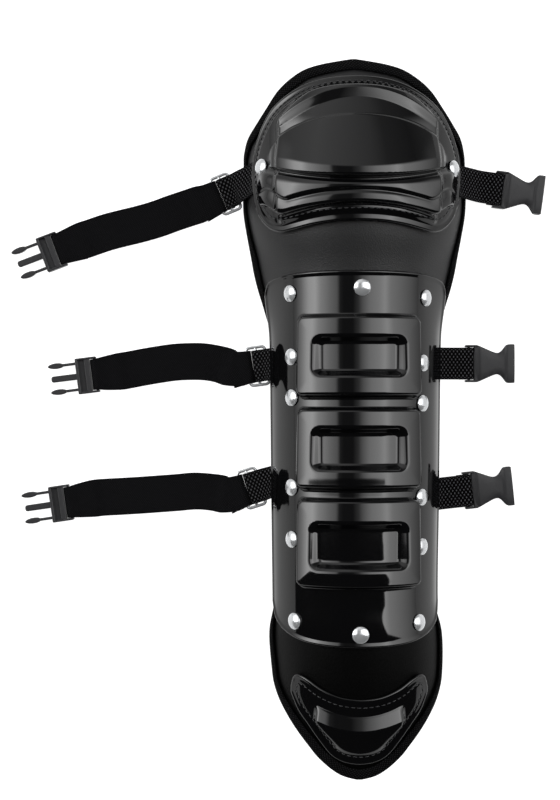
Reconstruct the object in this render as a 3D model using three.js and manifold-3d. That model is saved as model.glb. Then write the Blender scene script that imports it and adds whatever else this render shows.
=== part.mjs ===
// Catcher leg guard lying on its back: the knee to +Y, the front of the leg to +Z. Millimetres.
import * as THREE from "three";
import { mergeVertices } from "three/addons/utils/BufferGeometryUtils.js";
import Module from "manifold-3d";

const wasm = await Module();
wasm.setup();

// Driving dimensions
const GUARD_LENGTH = 535;
const KNEE_RADIUS = 84.5;
const GAP = 0.3;
const CLOTH_GAP = 0.7;
const BACK_GAP = 1.5;
const PAD_THICKNESS = 11;
const PAD_RIM = 5.5;
const PANEL_THICKNESS = 1.2;
const SHELL_THICKNESS = 2.4;
const TAPE_THICKNESS = 1.2;
const TAPE_WIDTH = 7;
const WEBBING_WIDTH = 24.5;
const WEBBING_THICKNESS = 1.5;
const ELASTIC_WIDTH = 28.5;
const ELASTIC_THICKNESS = 1.8;
const RIVET_DIAMETER = 12.4;
const RIVET_HEIGHT = 2.6;
const WIRE_DIAMETER = 2.4;
const SLIDER_LENGTH = 17;
const SLIDER_WIDTH = 31.5;
const BUCKLE_THICKNESS = 8;
const BUCKLE_WALL = 1.7;
const BUCKLE_BAR = 3;
const MALE_WIDTH = 27.5;
const MALE_LENGTH = 37;
const FEMALE_WIDTH = 29.5;
const FEMALE_LENGTH = 37.5;
const SHIN_RELIEF = 6.2;

// Lifts of the layers out from the pad's front face
const PANEL_LOW = GAP;
const PANEL_HIGH = PANEL_LOW + PANEL_THICKNESS;
const TAPE_LOW = PANEL_HIGH + 1.3 * CLOTH_GAP;
const TAPE_HIGH = TAPE_LOW + TAPE_THICKNESS;
const TAB_LOW = PANEL_HIGH + CLOTH_GAP;
const TAB_HIGH = TAB_LOW + WEBBING_THICKNESS;
const SHELL_LOW = TAB_HIGH + CLOTH_GAP;
const SHELL_HIGH = SHELL_LOW + SHELL_THICKNESS;
const ANKLE_LOW = PANEL_HIGH + CLOTH_GAP;
const ANKLE_HIGH = ANKLE_LOW + SHELL_THICKNESS;
const RIM_CLEAR = TAPE_THICKNESS + CLOTH_GAP;

// The leg form, a row per section: place along the guard from the knee's top edge (share of its length),
// then arc radius, depth of the arc's centre under the floor, side flare and sideways drift (shares of KNEE_RADIUS)
const LEG_FORM = [
  { at: 0, radius: 0.99, sink: 0.49, flare: 0, drift: -0.03 },
  { at: 0.03, radius: 0.995, sink: 0.38, flare: 0, drift: -0.02 },
  { at: 0.08, radius: 1, sink: 0.262, flare: 0, drift: -0.01 },
  { at: 0.14, radius: 0.992, sink: 0.19, flare: 0, drift: 0 },
  { at: 0.2, radius: 0.982, sink: 0.15, flare: 0.006, drift: 0 },
  { at: 0.24, radius: 0.893, sink: 0.085, flare: 0.065, drift: 0 },
  { at: 0.28, radius: 0.77, sink: 0.02, flare: 0.135, drift: 0 },
  { at: 0.31, radius: 0.72, sink: 0, flare: 0.13, drift: 0 },
  { at: 0.34, radius: 0.708, sink: 0, flare: 0.08, drift: 0 },
  { at: 0.38, radius: 0.704, sink: 0, flare: 0.015, drift: 0 },
  { at: 0.5, radius: 0.698, sink: 0, flare: 0, drift: 0 },
  { at: 0.62, radius: 0.69, sink: 0, flare: 0, drift: 0 },
  { at: 0.75, radius: 0.68, sink: 0, flare: 0, drift: 0 },
  { at: 0.8, radius: 0.69, sink: 0.015, flare: 0.065, drift: 0.012 },
  { at: 0.85, radius: 0.716, sink: 0.095, flare: 0.06, drift: 0.025 },
  { at: 0.9, radius: 0.728, sink: 0.19, flare: 0.04, drift: 0.03 },
  { at: 0.95, radius: 0.734, sink: 0.308, flare: 0.012, drift: 0.03 },
  { at: 1, radius: 0.734, sink: 0.43, flare: 0, drift: 0.03 },
];
const FLARE_FROM = 50;
const FLARE_TO = 90;

// Outline of the pad: turn round the leg (degrees from the crest) at the sides, and how the end edges bow
const PAD_OUTLINE = {
  sides: [
    { at: 0, turn: 83 },
    { at: 0.1215, turn: 83 },
    { at: 0.15, turn: 90 },
    { at: 0.84, turn: 90 },
    { at: 0.855, turn: 87 },
    { at: 1, turn: 87 },
  ],
  top: [
    { across: 0, at: 0 },
    { across: 0.12, at: 0.0035 },
    { across: 0.24, at: 0.0078 },
    { across: 0.337, at: 0.0135 },
    { across: 0.42, at: 0.0225 },
    { across: 0.494, at: 0.0325 },
    { across: 0.554, at: 0.0427 },
    { across: 0.65, at: 0.0634 },
    { across: 0.765, at: 0.083 },
    { across: 0.904, at: 0.101 },
    { across: 1, at: 0.1215 },
  ],
  bottom: [
    { across: 0, at: 1 },
    { across: 0.132, at: 0.995 },
    { across: 0.22, at: 0.987 },
    { across: 0.305, at: 0.9765 },
    { across: 0.379, at: 0.966 },
    { across: 0.448, at: 0.954 },
    { across: 0.58, at: 0.9335 },
    { across: 0.713, at: 0.914 },
    { across: 0.862, at: 0.892 },
    { across: 0.966, at: 0.871 },
    { across: 1, at: 0.855 },
  ],
  topHold: 0.32,
  bottomHold: 0.62,
};
const PAD_COLUMNS = [0, 0.2, 0.4, 0.58, 0.74, 0.88, 1];
const PAD_ROWS = [
  0, 0.018, 0.04, 0.075, 0.115, 0.16, 0.2, 0.235, 0.265, 0.295, 0.32, 0.35, 0.385, 0.5, 0.62, 0.75, 0.8, 0.85,
  0.9, 0.94, 0.965, 0.982, 1,
];

// Outline of the knee cap
const KNEE_OUTLINE = {
  sides: [
    { at: 0, turn: 60.5 },
    { at: 0.15, turn: 60.5 },
    { at: 0.2, turn: 57.5 },
    { at: 0.3, turn: 57.5 },
  ],
  top: [
    { across: 0, at: 0.0245 },
    { across: 0.2, at: 0.0265 },
    { across: 0.4, at: 0.0345 },
    { across: 0.6, at: 0.051 },
    { across: 0.75, at: 0.071 },
    { across: 0.88, at: 0.1 },
    { across: 0.96, at: 0.127 },
    { across: 1, at: 0.155 },
  ],
  bottom: [
    { across: 0, at: 0.2275 },
    { across: 0.2, at: 0.2285 },
    { across: 0.4, at: 0.232 },
    { across: 0.6, at: 0.237 },
    { across: 0.75, at: 0.239 },
    { across: 0.88, at: 0.232 },
    { across: 0.96, at: 0.216 },
    { across: 1, at: 0.19 },
  ],
  topHold: 0.228,
  bottomHold: 0.06,
};
const KNEE_COLUMNS = [0, 0.14, 0.28, 0.42, 0.56, 0.68, 0.79, 0.88, 0.945, 1];
const KNEE_ROWS = [
  0.0245, 0.035, 0.043, 0.054, 0.064, 0.076, 0.086, 0.1, 0.118, 0.136, 0.15, 0.159, 0.166, 0.173, 0.184, 0.192,
  0.198, 0.209, 0.216, 0.2275,
];

// Relief of the knee cap down its middle: place along the guard, and height (share of KNEE_RELIEF)
const KNEE_RELIEF = 9;
const KNEE_PROFILE = [
  { at: 0.024, height: 0 },
  { at: 0.034, height: 0.1 },
  { at: 0.043, height: 0.55 },
  { at: 0.056, height: 0.58 },
  { at: 0.068, height: 0.25 },
  { at: 0.077, height: 0.28 },
  { at: 0.087, height: 0.66 },
  { at: 0.1, height: 0.86 },
  { at: 0.122, height: 1 },
  { at: 0.14, height: 0.96 },
  { at: 0.152, height: 0.82 },
  { at: 0.161, height: 0.36 },
  { at: 0.167, height: 0.2 },
  { at: 0.174, height: 0.52 },
  { at: 0.184, height: 0.56 },
  { at: 0.193, height: 0.5 },
  { at: 0.198, height: 0.28 },
  { at: 0.208, height: 0.3 },
  { at: 0.216, height: 0 },
  { at: 0.24, height: 0 },
];
// How far the relief's lines bend with the distance from the middle (shares of the guard's length)
const KNEE_BENDS = [
  { at: 0, bend: 0.085, power: 2 },
  { at: 0.043, bend: 0.062, power: 2 },
  { at: 0.08, bend: 0.049, power: 2.5 },
  { at: 0.15, bend: -0.022, power: 2 },
  { at: 0.167, bend: -0.02, power: 2 },
  { at: 0.184, bend: -0.008, power: 4 },
  { at: 0.193, bend: -0.018, power: 6 },
  { at: 0.24, bend: 0.004, power: 4 },
];
const KNEE_BEND_REACH = 0.735;
const KNEE_FLANGE = 0.0165;
const KNEE_FADE = 0.8;

// Outline of the shin shell
const SHIN_OUTLINE = {
  sides: [
    { at: 0, turn: 76 },
    { at: 1, turn: 76 },
  ],
  top: [
    { across: 0, at: 0.2925 },
    { across: 0.4, at: 0.293 },
    { across: 0.7, at: 0.296 },
    { across: 0.86, at: 0.3 },
    { across: 0.95, at: 0.307 },
    { across: 1, at: 0.322 },
  ],
  bottom: [
    { across: 0, at: 0.8075 },
    { across: 0.3, at: 0.806 },
    { across: 0.55, at: 0.801 },
    { across: 0.75, at: 0.791 },
    { across: 0.9, at: 0.776 },
    { across: 1, at: 0.752 },
  ],
  topHold: 0.352,
  bottomHold: 0.725,
};
// Lines round the shin shell: turn as a share of the side's, whether on a raised pad's top, whether in a window
const SHIN_COLUMNS = [
  { across: 0, pad: 1, window: 1 },
  { across: 0.17, pad: 1, window: 1 },
  { across: 0.315, pad: 1, window: 1 },
  { across: 0.385, pad: 1, window: 0 },
  { across: 0.49, pad: 1, window: 0 },
  { across: 0.545, pad: 0, window: 0 },
  { across: 0.7, pad: 0, window: 0 },
  { across: 0.85, pad: 0, window: 0 },
  { across: 0.95, pad: 0, window: 0 },
  { across: 1, pad: 0, window: 0 },
];
const SHIN_ROWS = [
  { at: 0.2925, pad: 0, window: 0 },
  { at: 0.302, pad: 0, window: 0 },
  { at: 0.325, pad: 0, window: 0 },
  { at: 0.353, pad: 0, window: 0 },
  { at: 0.359, pad: 1, window: 0 },
  { at: 0.383, pad: 1, window: 0 },
  { at: 0.393, pad: 1, window: 1 },
  { at: 0.431, pad: 1, window: 1 },
  { at: 0.44, pad: 1, window: 0 },
  { at: 0.459, pad: 1, window: 0 },
  { at: 0.465, pad: 0, window: 0 },
  { at: 0.474, pad: 0, window: 0 },
  { at: 0.48, pad: 1, window: 0 },
  { at: 0.506, pad: 1, window: 0 },
  { at: 0.516, pad: 1, window: 1 },
  { at: 0.556, pad: 1, window: 1 },
  { at: 0.565, pad: 1, window: 0 },
  { at: 0.585, pad: 1, window: 0 },
  { at: 0.591, pad: 0, window: 0 },
  { at: 0.603, pad: 0, window: 0 },
  { at: 0.609, pad: 1, window: 0 },
  { at: 0.635, pad: 1, window: 0 },
  { at: 0.65, pad: 1, window: 1 },
  { at: 0.687, pad: 1, window: 1 },
  { at: 0.701, pad: 1, window: 0 },
  { at: 0.718, pad: 1, window: 0 },
  { at: 0.726, pad: 0, window: 0 },
  { at: 0.765, pad: 0, window: 0 },
  { at: 0.795, pad: 0, window: 0 },
  { at: 0.8075, pad: 0, window: 0 },
];

// Outline of the ankle cap
const ANKLE_OUTLINE = {
  sides: [
    { at: 0, turn: 52 },
    { at: 1, turn: 52 },
  ],
  top: [
    { across: 0, at: 0.881 },
    { across: 0.25, at: 0.878 },
    { across: 0.5, at: 0.868 },
    { across: 0.72, at: 0.855 },
    { across: 0.87, at: 0.851 },
    { across: 0.96, at: 0.856 },
    { across: 1, at: 0.87 },
  ],
  bottom: [
    { across: 0, at: 0.979 },
    { across: 0.2, at: 0.9755 },
    { across: 0.36, at: 0.966 },
    { across: 0.52, at: 0.946 },
    { across: 0.7, at: 0.922 },
    { across: 0.86, at: 0.903 },
    { across: 1, at: 0.878 },
  ],
  topHold: 0.979,
  bottomHold: 0.881,
};
const ANKLE_COLUMNS = [0, 0.26, 0.48, 0.68, 0.86, 1];
const ANKLE_ROWS = [0.881, 0.889, 0.897, 0.912, 0.93, 0.947, 0.962, 0.979];
const ANKLE_RELIEF = 5.5;
const ANKLE_BUMP = { from: 0.893, crest: 0.907, to: 0.955, turn: 34 };

// Rivets: turn round the leg in degrees, place along the guard, and the shell that each one holds
const RIVETS = [
  { name: "knee_left", turn: -50, at: 0.147 },
  { name: "knee_right", turn: 50.5, at: 0.149 },
  { name: "shin_top_left", turn: -47.8, at: 0.322 },
  { name: "shin_top_middle", turn: 2.3, at: 0.3165 },
  { name: "shin_top_right", turn: 50, at: 0.328 },
  { name: "shin_upper_left", turn: -47, at: 0.4095 },
  { name: "shin_upper_right", turn: 47.5, at: 0.418 },
  { name: "shin_second_left", turn: -46.8, at: 0.466 },
  { name: "shin_second_right", turn: 47, at: 0.4737 },
  { name: "shin_third_left", turn: -47.5, at: 0.59 },
  { name: "shin_third_right", turn: 46.8, at: 0.6035 },
  { name: "shin_lower_left", turn: -47.6, at: 0.662 },
  { name: "shin_lower_right", turn: 47.8, at: 0.672 },
  { name: "shin_bottom_left", turn: -46, at: 0.775 },
  { name: "shin_bottom_middle", turn: 0.8, at: 0.7885 },
  { name: "shin_bottom_right", turn: 44.5, at: 0.7765 },
];

// Webbing tabs: place along the guard, turns where the tab starts and leaves the form, heading in plan
// (degrees from straight outward, + to the knee), how far off and how far out it comes down, what it holds
const TABS = [
  { name: "left_upper", side: -1, at: 0.158, start: 48, leave: 66, off: 9.5, heading: -23, reach: 21.3, holds: "slider" },
  { name: "left_middle", side: -1, at: 0.417, start: 52, leave: 77, off: 5.5, heading: -8, reach: 13.5, holds: "slider" },
  { name: "left_lower", side: -1, at: 0.584, start: 52, leave: 77, off: 5.5, heading: -18, reach: 20, holds: "slider" },
  { name: "right_upper", side: 1, at: 0.16, start: 48, leave: 66, off: 9.5, heading: -7.5, reach: 31, holds: "buckle" },
  { name: "right_middle", side: 1, at: 0.417, start: 52, leave: 77, off: 5.5, heading: 0, reach: 27, holds: "buckle" },
  { name: "right_lower", side: 1, at: 0.604, start: 52, leave: 77, off: 5.5, heading: 6, reach: 27, holds: "buckle" },
];

// Straps in plan: reach out from the slider's outer bar, then distance out and offset toward the knee as
// shares of that reach
const STRAPS = [
  {
    name: "upper",
    reach: 120.2,
    bows: [
      { out: 0, rise: 0 },
      { out: 0.2165, rise: -0.074 },
      { out: 0.414, rise: -0.144 },
      { out: 0.723, rise: -0.225 },
      { out: 0.908, rise: -0.293 },
      { out: 1, rise: -0.328 },
    ],
  },
  {
    name: "middle",
    reach: 116.7,
    bows: [
      { out: 0, rise: 0 },
      { out: 0.2365, rise: 0.032 },
      { out: 0.45, rise: 0.037 },
      { out: 0.644, rise: 0.0105 },
      { out: 0.838, rise: -0.025 },
      { out: 1, rise: -0.0455 },
    ],
  },
  {
    name: "lower",
    reach: 132.4,
    bows: [
      { out: 0, rise: 0 },
      { out: 0.2325, rise: -0.001 },
      { out: 0.417, rise: -0.013 },
      { out: 0.646, rise: -0.029 },
      { out: 0.846, rise: -0.041 },
      { out: 1, rise: -0.0635 },
    ],
  },
];

// A smooth curve through a table's column
function tableCurve(rows, place, value) {
  const places = rows.map((row) => row[place]);
  const values = rows.map((row) => row[value]);
  const curve = new THREE.CubicInterpolant(places, values, 1);
  const first = places[0];
  const last = places[places.length - 1];
  return (x) => curve.evaluate(THREE.MathUtils.clamp(x, first, last))[0];
}

// The straight-line reading of a table's column
function tableLine(rows, place, value) {
  const places = rows.map((row) => row[place]);
  const values = rows.map((row) => row[value]);
  const line = new THREE.LinearInterpolant(places, values, 1);
  return (x) => line.evaluate(THREE.MathUtils.clamp(x, places[0], places[places.length - 1]))[0];
}

const formRadius = tableCurve(LEG_FORM, "at", "radius");
const formSink = tableCurve(LEG_FORM, "at", "sink");
const formFlare = tableCurve(LEG_FORM, "at", "flare");
const formDrift = tableCurve(LEG_FORM, "at", "drift");

// A point over the leg form: place along the guard, turn in degrees from the crest, lift off the pad's front
function onForm(at, turn, lift) {
  const angle = THREE.MathUtils.degToRad(turn);
  const reach = formRadius(at) * KNEE_RADIUS + lift;
  const spread = Math.max(0, (Math.abs(turn) - FLARE_FROM) / (FLARE_TO - FLARE_FROM));
  const flare = Math.max(0, formFlare(at)) * KNEE_RADIUS * spread * spread * Math.sign(turn);
  return new THREE.Vector3(
    reach * Math.sin(angle) + flare + formDrift(at) * KNEE_RADIUS,
    GUARD_LENGTH * (0.5 - at),
    reach * Math.cos(angle) - formSink(at) * KNEE_RADIUS,
  );
}

// The turn at which the back of the pad's rim stands the given height over the floor
function turnAtHeight(at, height) {
  const share = (formSink(at) * KNEE_RADIUS + height) / (formRadius(at) * KNEE_RADIUS - PAD_RIM);
  return THREE.MathUtils.radToDeg(Math.acos(THREE.MathUtils.clamp(share, -1, 1)));
}

// A place on a patch from its share across and the station of its row on the crest
function patchPlacer(outline) {
  const side = tableLine(outline.sides, "at", "turn");
  const top = tableCurve(outline.top, "across", "at");
  const bottom = tableCurve(outline.bottom, "across", "at");
  const first = top(0);
  const last = bottom(0);
  const placeAlong = (across, station) => {
    const topFade = Math.max(0, 1 - (station - first) / (outline.topHold - first));
    const bottomFade = Math.max(0, 1 - (last - station) / (last - outline.bottomHold));
    return station + (top(across) - first) * topFade + (bottom(across) - last) * bottomFade;
  };
  return (across, station) => {
    const span = Math.abs(across);
    const edgeAt = placeAlong(1, station);
    const edge = Math.min(side(edgeAt), turnAtHeight(edgeAt, RIM_CLEAR));
    return { at: placeAlong(span, station), turn: across * edge };
  };
}

// Both halves of a table of lines given from the middle outward
function mirrored(columns) {
  return [...columns.slice(1).map((across) => -across).reverse(), ...columns];
}

// A box's grid carried to new places, as one closed mesh geometry. The low face's cells are split along the
// same diagonals as the high face's, so that nested sheets keep their gap all over.
const LOW_FACE = 5;
function bentBox(counts, place) {
  const geometry = new THREE.BoxGeometry(1, 1, 1, counts[0], counts[1], 1);
  const corners = geometry.index.array;
  const cells = geometry.groups[LOW_FACE];
  for (let k = cells.start; k < cells.start + cells.count; k += 6) {
    const [a, b, d, , c] = corners.slice(k, k + 5);
    corners.set([a, b, c, a, c, d], k);
  }
  geometry.deleteAttribute("normal");
  geometry.deleteAttribute("uv");
  const spots = geometry.getAttribute("position");
  const spot = new THREE.Vector3();
  for (let i = 0; i < spots.count; i += 1) {
    spot.fromBufferAttribute(spots, i).addScalar(0.5);
    const moved = place(Math.round(spot.x * counts[0]), Math.round(spot.y * counts[1]), Math.round(spot.z));
    spots.setXYZ(i, moved.x, moved.y, moved.z);
  }
  return mergeVertices(geometry, 1e-3);
}

// A closed sheet over the form: low and high give its two faces' lifts at a place
function formSheet(outline, columns, rows, low, high) {
  const place = patchPlacer(outline);
  const last = rows.length - 1;
  return bentBox([columns.length - 1, last], (column, row, layer) => {
    const spot = place(columns[column], rows[last - row]);
    const lift = layer > 0 ? high(spot, column, last - row) : low(spot, column, last - row);
    return onForm(spot.at, spot.turn, lift);
  });
}

// Pad, front panel and rim tape
const padPlace = patchPlacer(PAD_OUTLINE);
const padColumns = mirrored(PAD_COLUMNS);

// The pad's rim, walked once round: every place is where the pad's own outermost lines cross
function rimPlaces() {
  const lastColumn = padColumns.length - 1;
  const lastRow = PAD_ROWS.length - 1;
  const walk = [];
  for (let column = 0; column < lastColumn; column += 1) walk.push([column, 0]);
  for (let row = 0; row < lastRow; row += 1) walk.push([lastColumn, row]);
  for (let column = lastColumn; column > 0; column -= 1) walk.push([column, lastRow]);
  for (let row = lastRow; row > 0; row -= 1) walk.push([0, row]);
  return walk.map(([column, row]) => padPlace(padColumns[column], PAD_ROWS[row]));
}

// A place laid flat: distance round the leg from the crest, and distance down the guard
function laidFlat(place) {
  const arc = THREE.MathUtils.degToRad(place.turn) * formRadius(place.at) * KNEE_RADIUS;
  return new THREE.Vector2(arc, -place.at * GUARD_LENGTH);
}
const rim = rimPlaces();
const flatRim = rim.map(laidFlat);
function distanceToRim(place) {
  const spot = laidFlat(place);
  let nearest = Infinity;
  flatRim.forEach((from, i) => {
    const run = flatRim[(i + 1) % flatRim.length].clone().sub(from);
    const share = THREE.MathUtils.clamp(spot.clone().sub(from).dot(run) / run.lengthSq(), 0, 1);
    nearest = Math.min(nearest, from.clone().addScaledVector(run, share).distanceTo(spot));
  });
  return nearest;
}
// The pad thins to its rim, so that the tape can close over it
function padBack(place) {
  const swell = THREE.MathUtils.smoothstep(distanceToRim(place), 1.7 * TAPE_WIDTH, 3.2 * TAPE_WIDTH);
  return -THREE.MathUtils.lerp(PAD_RIM, PAD_THICKNESS, swell);
}
const padGeometry = formSheet(PAD_OUTLINE, padColumns, PAD_ROWS, padBack, () => 0);
const panelGeometry = formSheet(
  PAD_OUTLINE,
  padColumns,
  PAD_ROWS,
  () => PANEL_LOW,
  () => PANEL_HIGH,
);

// The tape's cross-section: distance in from the rim and lift, walked round the folded strip
const TAPE_OUT = CLOTH_GAP + TAPE_THICKNESS;
const TAPE_SECTION = [
  { inset: TAPE_WIDTH, lift: TAPE_HIGH },
  { inset: -TAPE_OUT, lift: TAPE_HIGH },
  { inset: -TAPE_OUT, lift: -PAD_RIM - BACK_GAP - TAPE_THICKNESS },
  { inset: TAPE_WIDTH, lift: -PAD_RIM - BACK_GAP - TAPE_THICKNESS },
  { inset: TAPE_WIDTH, lift: -PAD_RIM - BACK_GAP },
  { inset: -CLOTH_GAP, lift: -PAD_RIM - BACK_GAP },
  { inset: -CLOTH_GAP, lift: TAPE_LOW },
  { inset: TAPE_WIDTH, lift: TAPE_LOW },
];

// A closed ring: a torus's grid carried round the rim, its small circle turned into the section
function rimTape(flat, section) {
  const geometry = new THREE.TorusGeometry(2, 1, section.length, flat.length);
  geometry.deleteAttribute("normal");
  geometry.deleteAttribute("uv");
  const spots = geometry.getAttribute("position");
  const count = flat.length;
  const inward = flat.map((_, i) => {
    const along = flat[(i + 1) % count].clone().sub(flat[(i + count - 1) % count]).normalize();
    return new THREE.Vector2(along.y, -along.x);
  });
  for (let i = 0; i < spots.count; i += 1) {
    const around = i % (count + 1);
    const ring = Math.floor(i / (count + 1)) % section.length;
    const k = around % count;
    const step = inward[k].clone().multiplyScalar(section[ring].inset);
    const spot = flat[k].clone().add(step);
    const at = -spot.y / GUARD_LENGTH;
    const turn = THREE.MathUtils.radToDeg(spot.x / (formRadius(at) * KNEE_RADIUS));
    const moved = onForm(at, turn, section[ring].lift);
    spots.setXYZ(i, moved.x, moved.y, Math.max(0, moved.z));
  }
  return mergeVertices(geometry, 1e-3);
}
const tapeGeometry = rimTape(flatRim, TAPE_SECTION);

// Knee cap: the relief's rows bend with the cap, and the flange round it stays flat
const kneeHeight = tableLine(KNEE_PROFILE, "at", "height");
const kneeBend = tableLine(KNEE_BENDS, "at", "bend");
const kneePower = tableLine(KNEE_BENDS, "at", "power");
const kneePlace = patchPlacer(KNEE_OUTLINE);
function kneeRelief(spot) {
  const out = Math.abs(onForm(spot.at, spot.turn, SHELL_LOW).x) / (KNEE_BEND_REACH * KNEE_RADIUS);
  let line = spot.at;
  for (let pass = 0; pass < 8; pass += 1) {
    line = spot.at - kneeBend(line) * Math.pow(Math.min(out, 1.2), kneePower(line));
  }
  const side = kneePlace(1, 0.13).turn - Math.abs(spot.turn);
  const sideRoom = THREE.MathUtils.degToRad(side) * KNEE_RADIUS;
  const inner = THREE.MathUtils.smoothstep(sideRoom, KNEE_FLANGE * GUARD_LENGTH * 0.5, KNEE_FLANGE * GUARD_LENGTH);
  const middle = 1 - THREE.MathUtils.smoothstep(out, KNEE_FADE, 1.28 * KNEE_FADE);
  return kneeHeight(line) * inner * middle * KNEE_RELIEF;
}
const kneeGeometry = formSheet(
  KNEE_OUTLINE,
  mirrored(KNEE_COLUMNS),
  KNEE_ROWS,
  (spot) => SHELL_LOW + kneeRelief(spot),
  (spot) => SHELL_HIGH + kneeRelief(spot),
);

// Shin shell: three raised pads, each with a sunk window, on the shell's own lines
const shinColumns = mirrored(SHIN_COLUMNS.map((line) => line.across));
const shinAcross = (column) => SHIN_COLUMNS[Math.abs(column - (SHIN_COLUMNS.length - 1))];
function shinRelief(column, row) {
  const line = shinAcross(column);
  const station = SHIN_ROWS[row];
  return (line.pad * station.pad - line.window * station.window) * SHIN_RELIEF;
}
const shinGeometry = formSheet(
  SHIN_OUTLINE,
  shinColumns,
  SHIN_ROWS.map((row) => row.at),
  (spot, column, row) => SHELL_LOW + shinRelief(column, row),
  (spot, column, row) => SHELL_HIGH + shinRelief(column, row),
);

// Ankle cap: one bump that swells under its upper edge and fades to the tip
function ankleRelief(spot) {
  const rise = THREE.MathUtils.smoothstep(spot.at, ANKLE_BUMP.from, ANKLE_BUMP.crest);
  const fall = 1 - THREE.MathUtils.smoothstep(spot.at, ANKLE_BUMP.crest, ANKLE_BUMP.to);
  const side = 1 - THREE.MathUtils.smoothstep(Math.abs(spot.turn), ANKLE_BUMP.turn * 0.8, ANKLE_BUMP.turn * 1.2);
  return rise * fall * side * ANKLE_RELIEF;
}
const ankleGeometry = formSheet(
  ANKLE_OUTLINE,
  mirrored(ANKLE_COLUMNS),
  ANKLE_ROWS,
  (spot) => ANKLE_LOW + ankleRelief(spot),
  (spot) => ANKLE_HIGH + ankleRelief(spot),
);

// Rivets: a low dome turned about its axis, its flat foot just off the shell
const RIVET_SIDES = 8;
const rivetProfile = [
  { out: 0, up: 0 },
  { out: 1, up: 0 },
  { out: 0.97, up: 0.3 },
  { out: 0.62, up: 0.82 },
  { out: 0, up: 1 },
].map((row) => new THREE.Vector2((row.out * RIVET_DIAMETER) / 2, row.up * RIVET_HEIGHT));
function rivetGeometry() {
  const geometry = new THREE.LatheGeometry(rivetProfile, RIVET_SIDES);
  geometry.deleteAttribute("normal");
  geometry.deleteAttribute("uv");
  return mergeVertices(geometry.rotateX(Math.PI / 2), 1e-3);
}
function outwardAt(at, turn, lift) {
  const step = 0.004;
  const along = onForm(at - step, turn, lift).sub(onForm(at + step, turn, lift));
  const around = onForm(at, turn + 1, lift).sub(onForm(at, turn - 1, lift));
  return around.cross(along).normalize();
}

// A flat band: a box's grid carried along a path, its thickness standing off the path
function band(stations, thickness, spot) {
  const last = stations - 1;
  return bentBox([last, 1], (station, edge, layer) => {
    const before = spot(Math.max(station - 1, 0), edge);
    const after = spot(Math.min(station + 1, last), edge);
    const across = spot(station, 1).sub(spot(station, 0));
    const normal = after.sub(before).cross(across).normalize();
    return spot(station, edge).addScaledVector(normal, (layer - 0.5) * thickness);
  });
}

// Side view of a band's loop round a bar: from the top pass to the tail beneath it
function loopRound(radius, height, tail) {
  const turns = [90, 45, 0, -45, -90].map((degrees) => THREE.MathUtils.degToRad(degrees));
  const loop = turns.map((a) => new THREE.Vector2(Math.cos(a) * radius, height + Math.sin(a) * radius));
  return [...loop, new THREE.Vector2(-tail, height - radius)];
}

// Heights over the floor of the bars that the bands loop round
const SLIDER_LOOP = WIRE_DIAMETER / 2 + GAP + WEBBING_THICKNESS / 2;
const STRAP_LOOP = WIRE_DIAMETER / 2 + GAP + ELASTIC_THICKNESS / 2;
const SLIDER_HEIGHT = STRAP_LOOP + ELASTIC_THICKNESS / 2;
const BUCKLE_LOOP = BUCKLE_BAR / 2 + GAP + WEBBING_THICKNESS / 2;
const BUCKLE_HEIGHT = BUCKLE_THICKNESS / 2;
const MALE_LOOP = BUCKLE_BAR / 2 + GAP + ELASTIC_THICKNESS / 2;
const SLIDER_TAIL = 3;
const BUCKLE_TAIL = 7;

// The frame of a tab's loop: its bar's middle, and the way out along the floor
function barFrame(tab) {
  const leave = onForm(tab.at, tab.side * tab.leave, (TAB_LOW + TAB_HIGH) / 2);
  const heading = THREE.MathUtils.degToRad(tab.heading);
  const out = new THREE.Vector3(tab.side * Math.cos(heading), Math.sin(heading), 0);
  return { origin: leave.setZ(0).addScaledVector(out, tab.reach), out };
}

// A webbing tab: under the shell on the form, off its rim, down to the bar and round it
const TAB_TURNS = [0, 0.34, 0.67, 1];
function tabGeometry(tab) {
  const frame = barFrame(tab);
  const middle = (TAB_LOW + TAB_HIGH) / 2;
  const slider = tab.holds === "slider";
  const radius = slider ? SLIDER_LOOP : BUCKLE_LOOP;
  const height = slider ? SLIDER_HEIGHT : BUCKLE_HEIGHT;
  const heading = THREE.MathUtils.degToRad(tab.heading);
  const leave = onForm(tab.at, tab.side * tab.leave, middle);
  const free = [
    { out: tab.off - tab.reach, up: leave.z * 0.55 + height * 0.3, twist: 0.25 },
    { out: (tab.off - tab.reach) * 0.62, up: height + radius + 0.8, twist: 0.7 },
    ...loopRound(radius, height, slider ? SLIDER_TAIL : BUCKLE_TAIL).map((p) => ({ out: p.x, up: p.y, twist: 1 })),
  ];
  return band(TAB_TURNS.length + free.length, WEBBING_THICKNESS, (station, edge) => {
    const crossing = (tab.side > 0 ? edge - 0.5 : 0.5 - edge) * WEBBING_WIDTH;
    if (station < TAB_TURNS.length) {
      const turn = tab.side * THREE.MathUtils.lerp(tab.start, tab.leave, TAB_TURNS[station]);
      const lean = Math.abs(leave.x - onForm(tab.at, turn, middle).x) * Math.tan(heading);
      return onForm(tab.at - (crossing - lean) / GUARD_LENGTH, turn, middle);
    }
    const { out, up, twist } = free[station - TAB_TURNS.length];
    const swing = new THREE.Vector3(-Math.sin(heading * twist) * tab.side, Math.cos(heading * twist), 0);
    return frame.origin.clone().addScaledVector(frame.out, out).addScaledVector(swing, crossing).setZ(up);
  });
}

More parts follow.
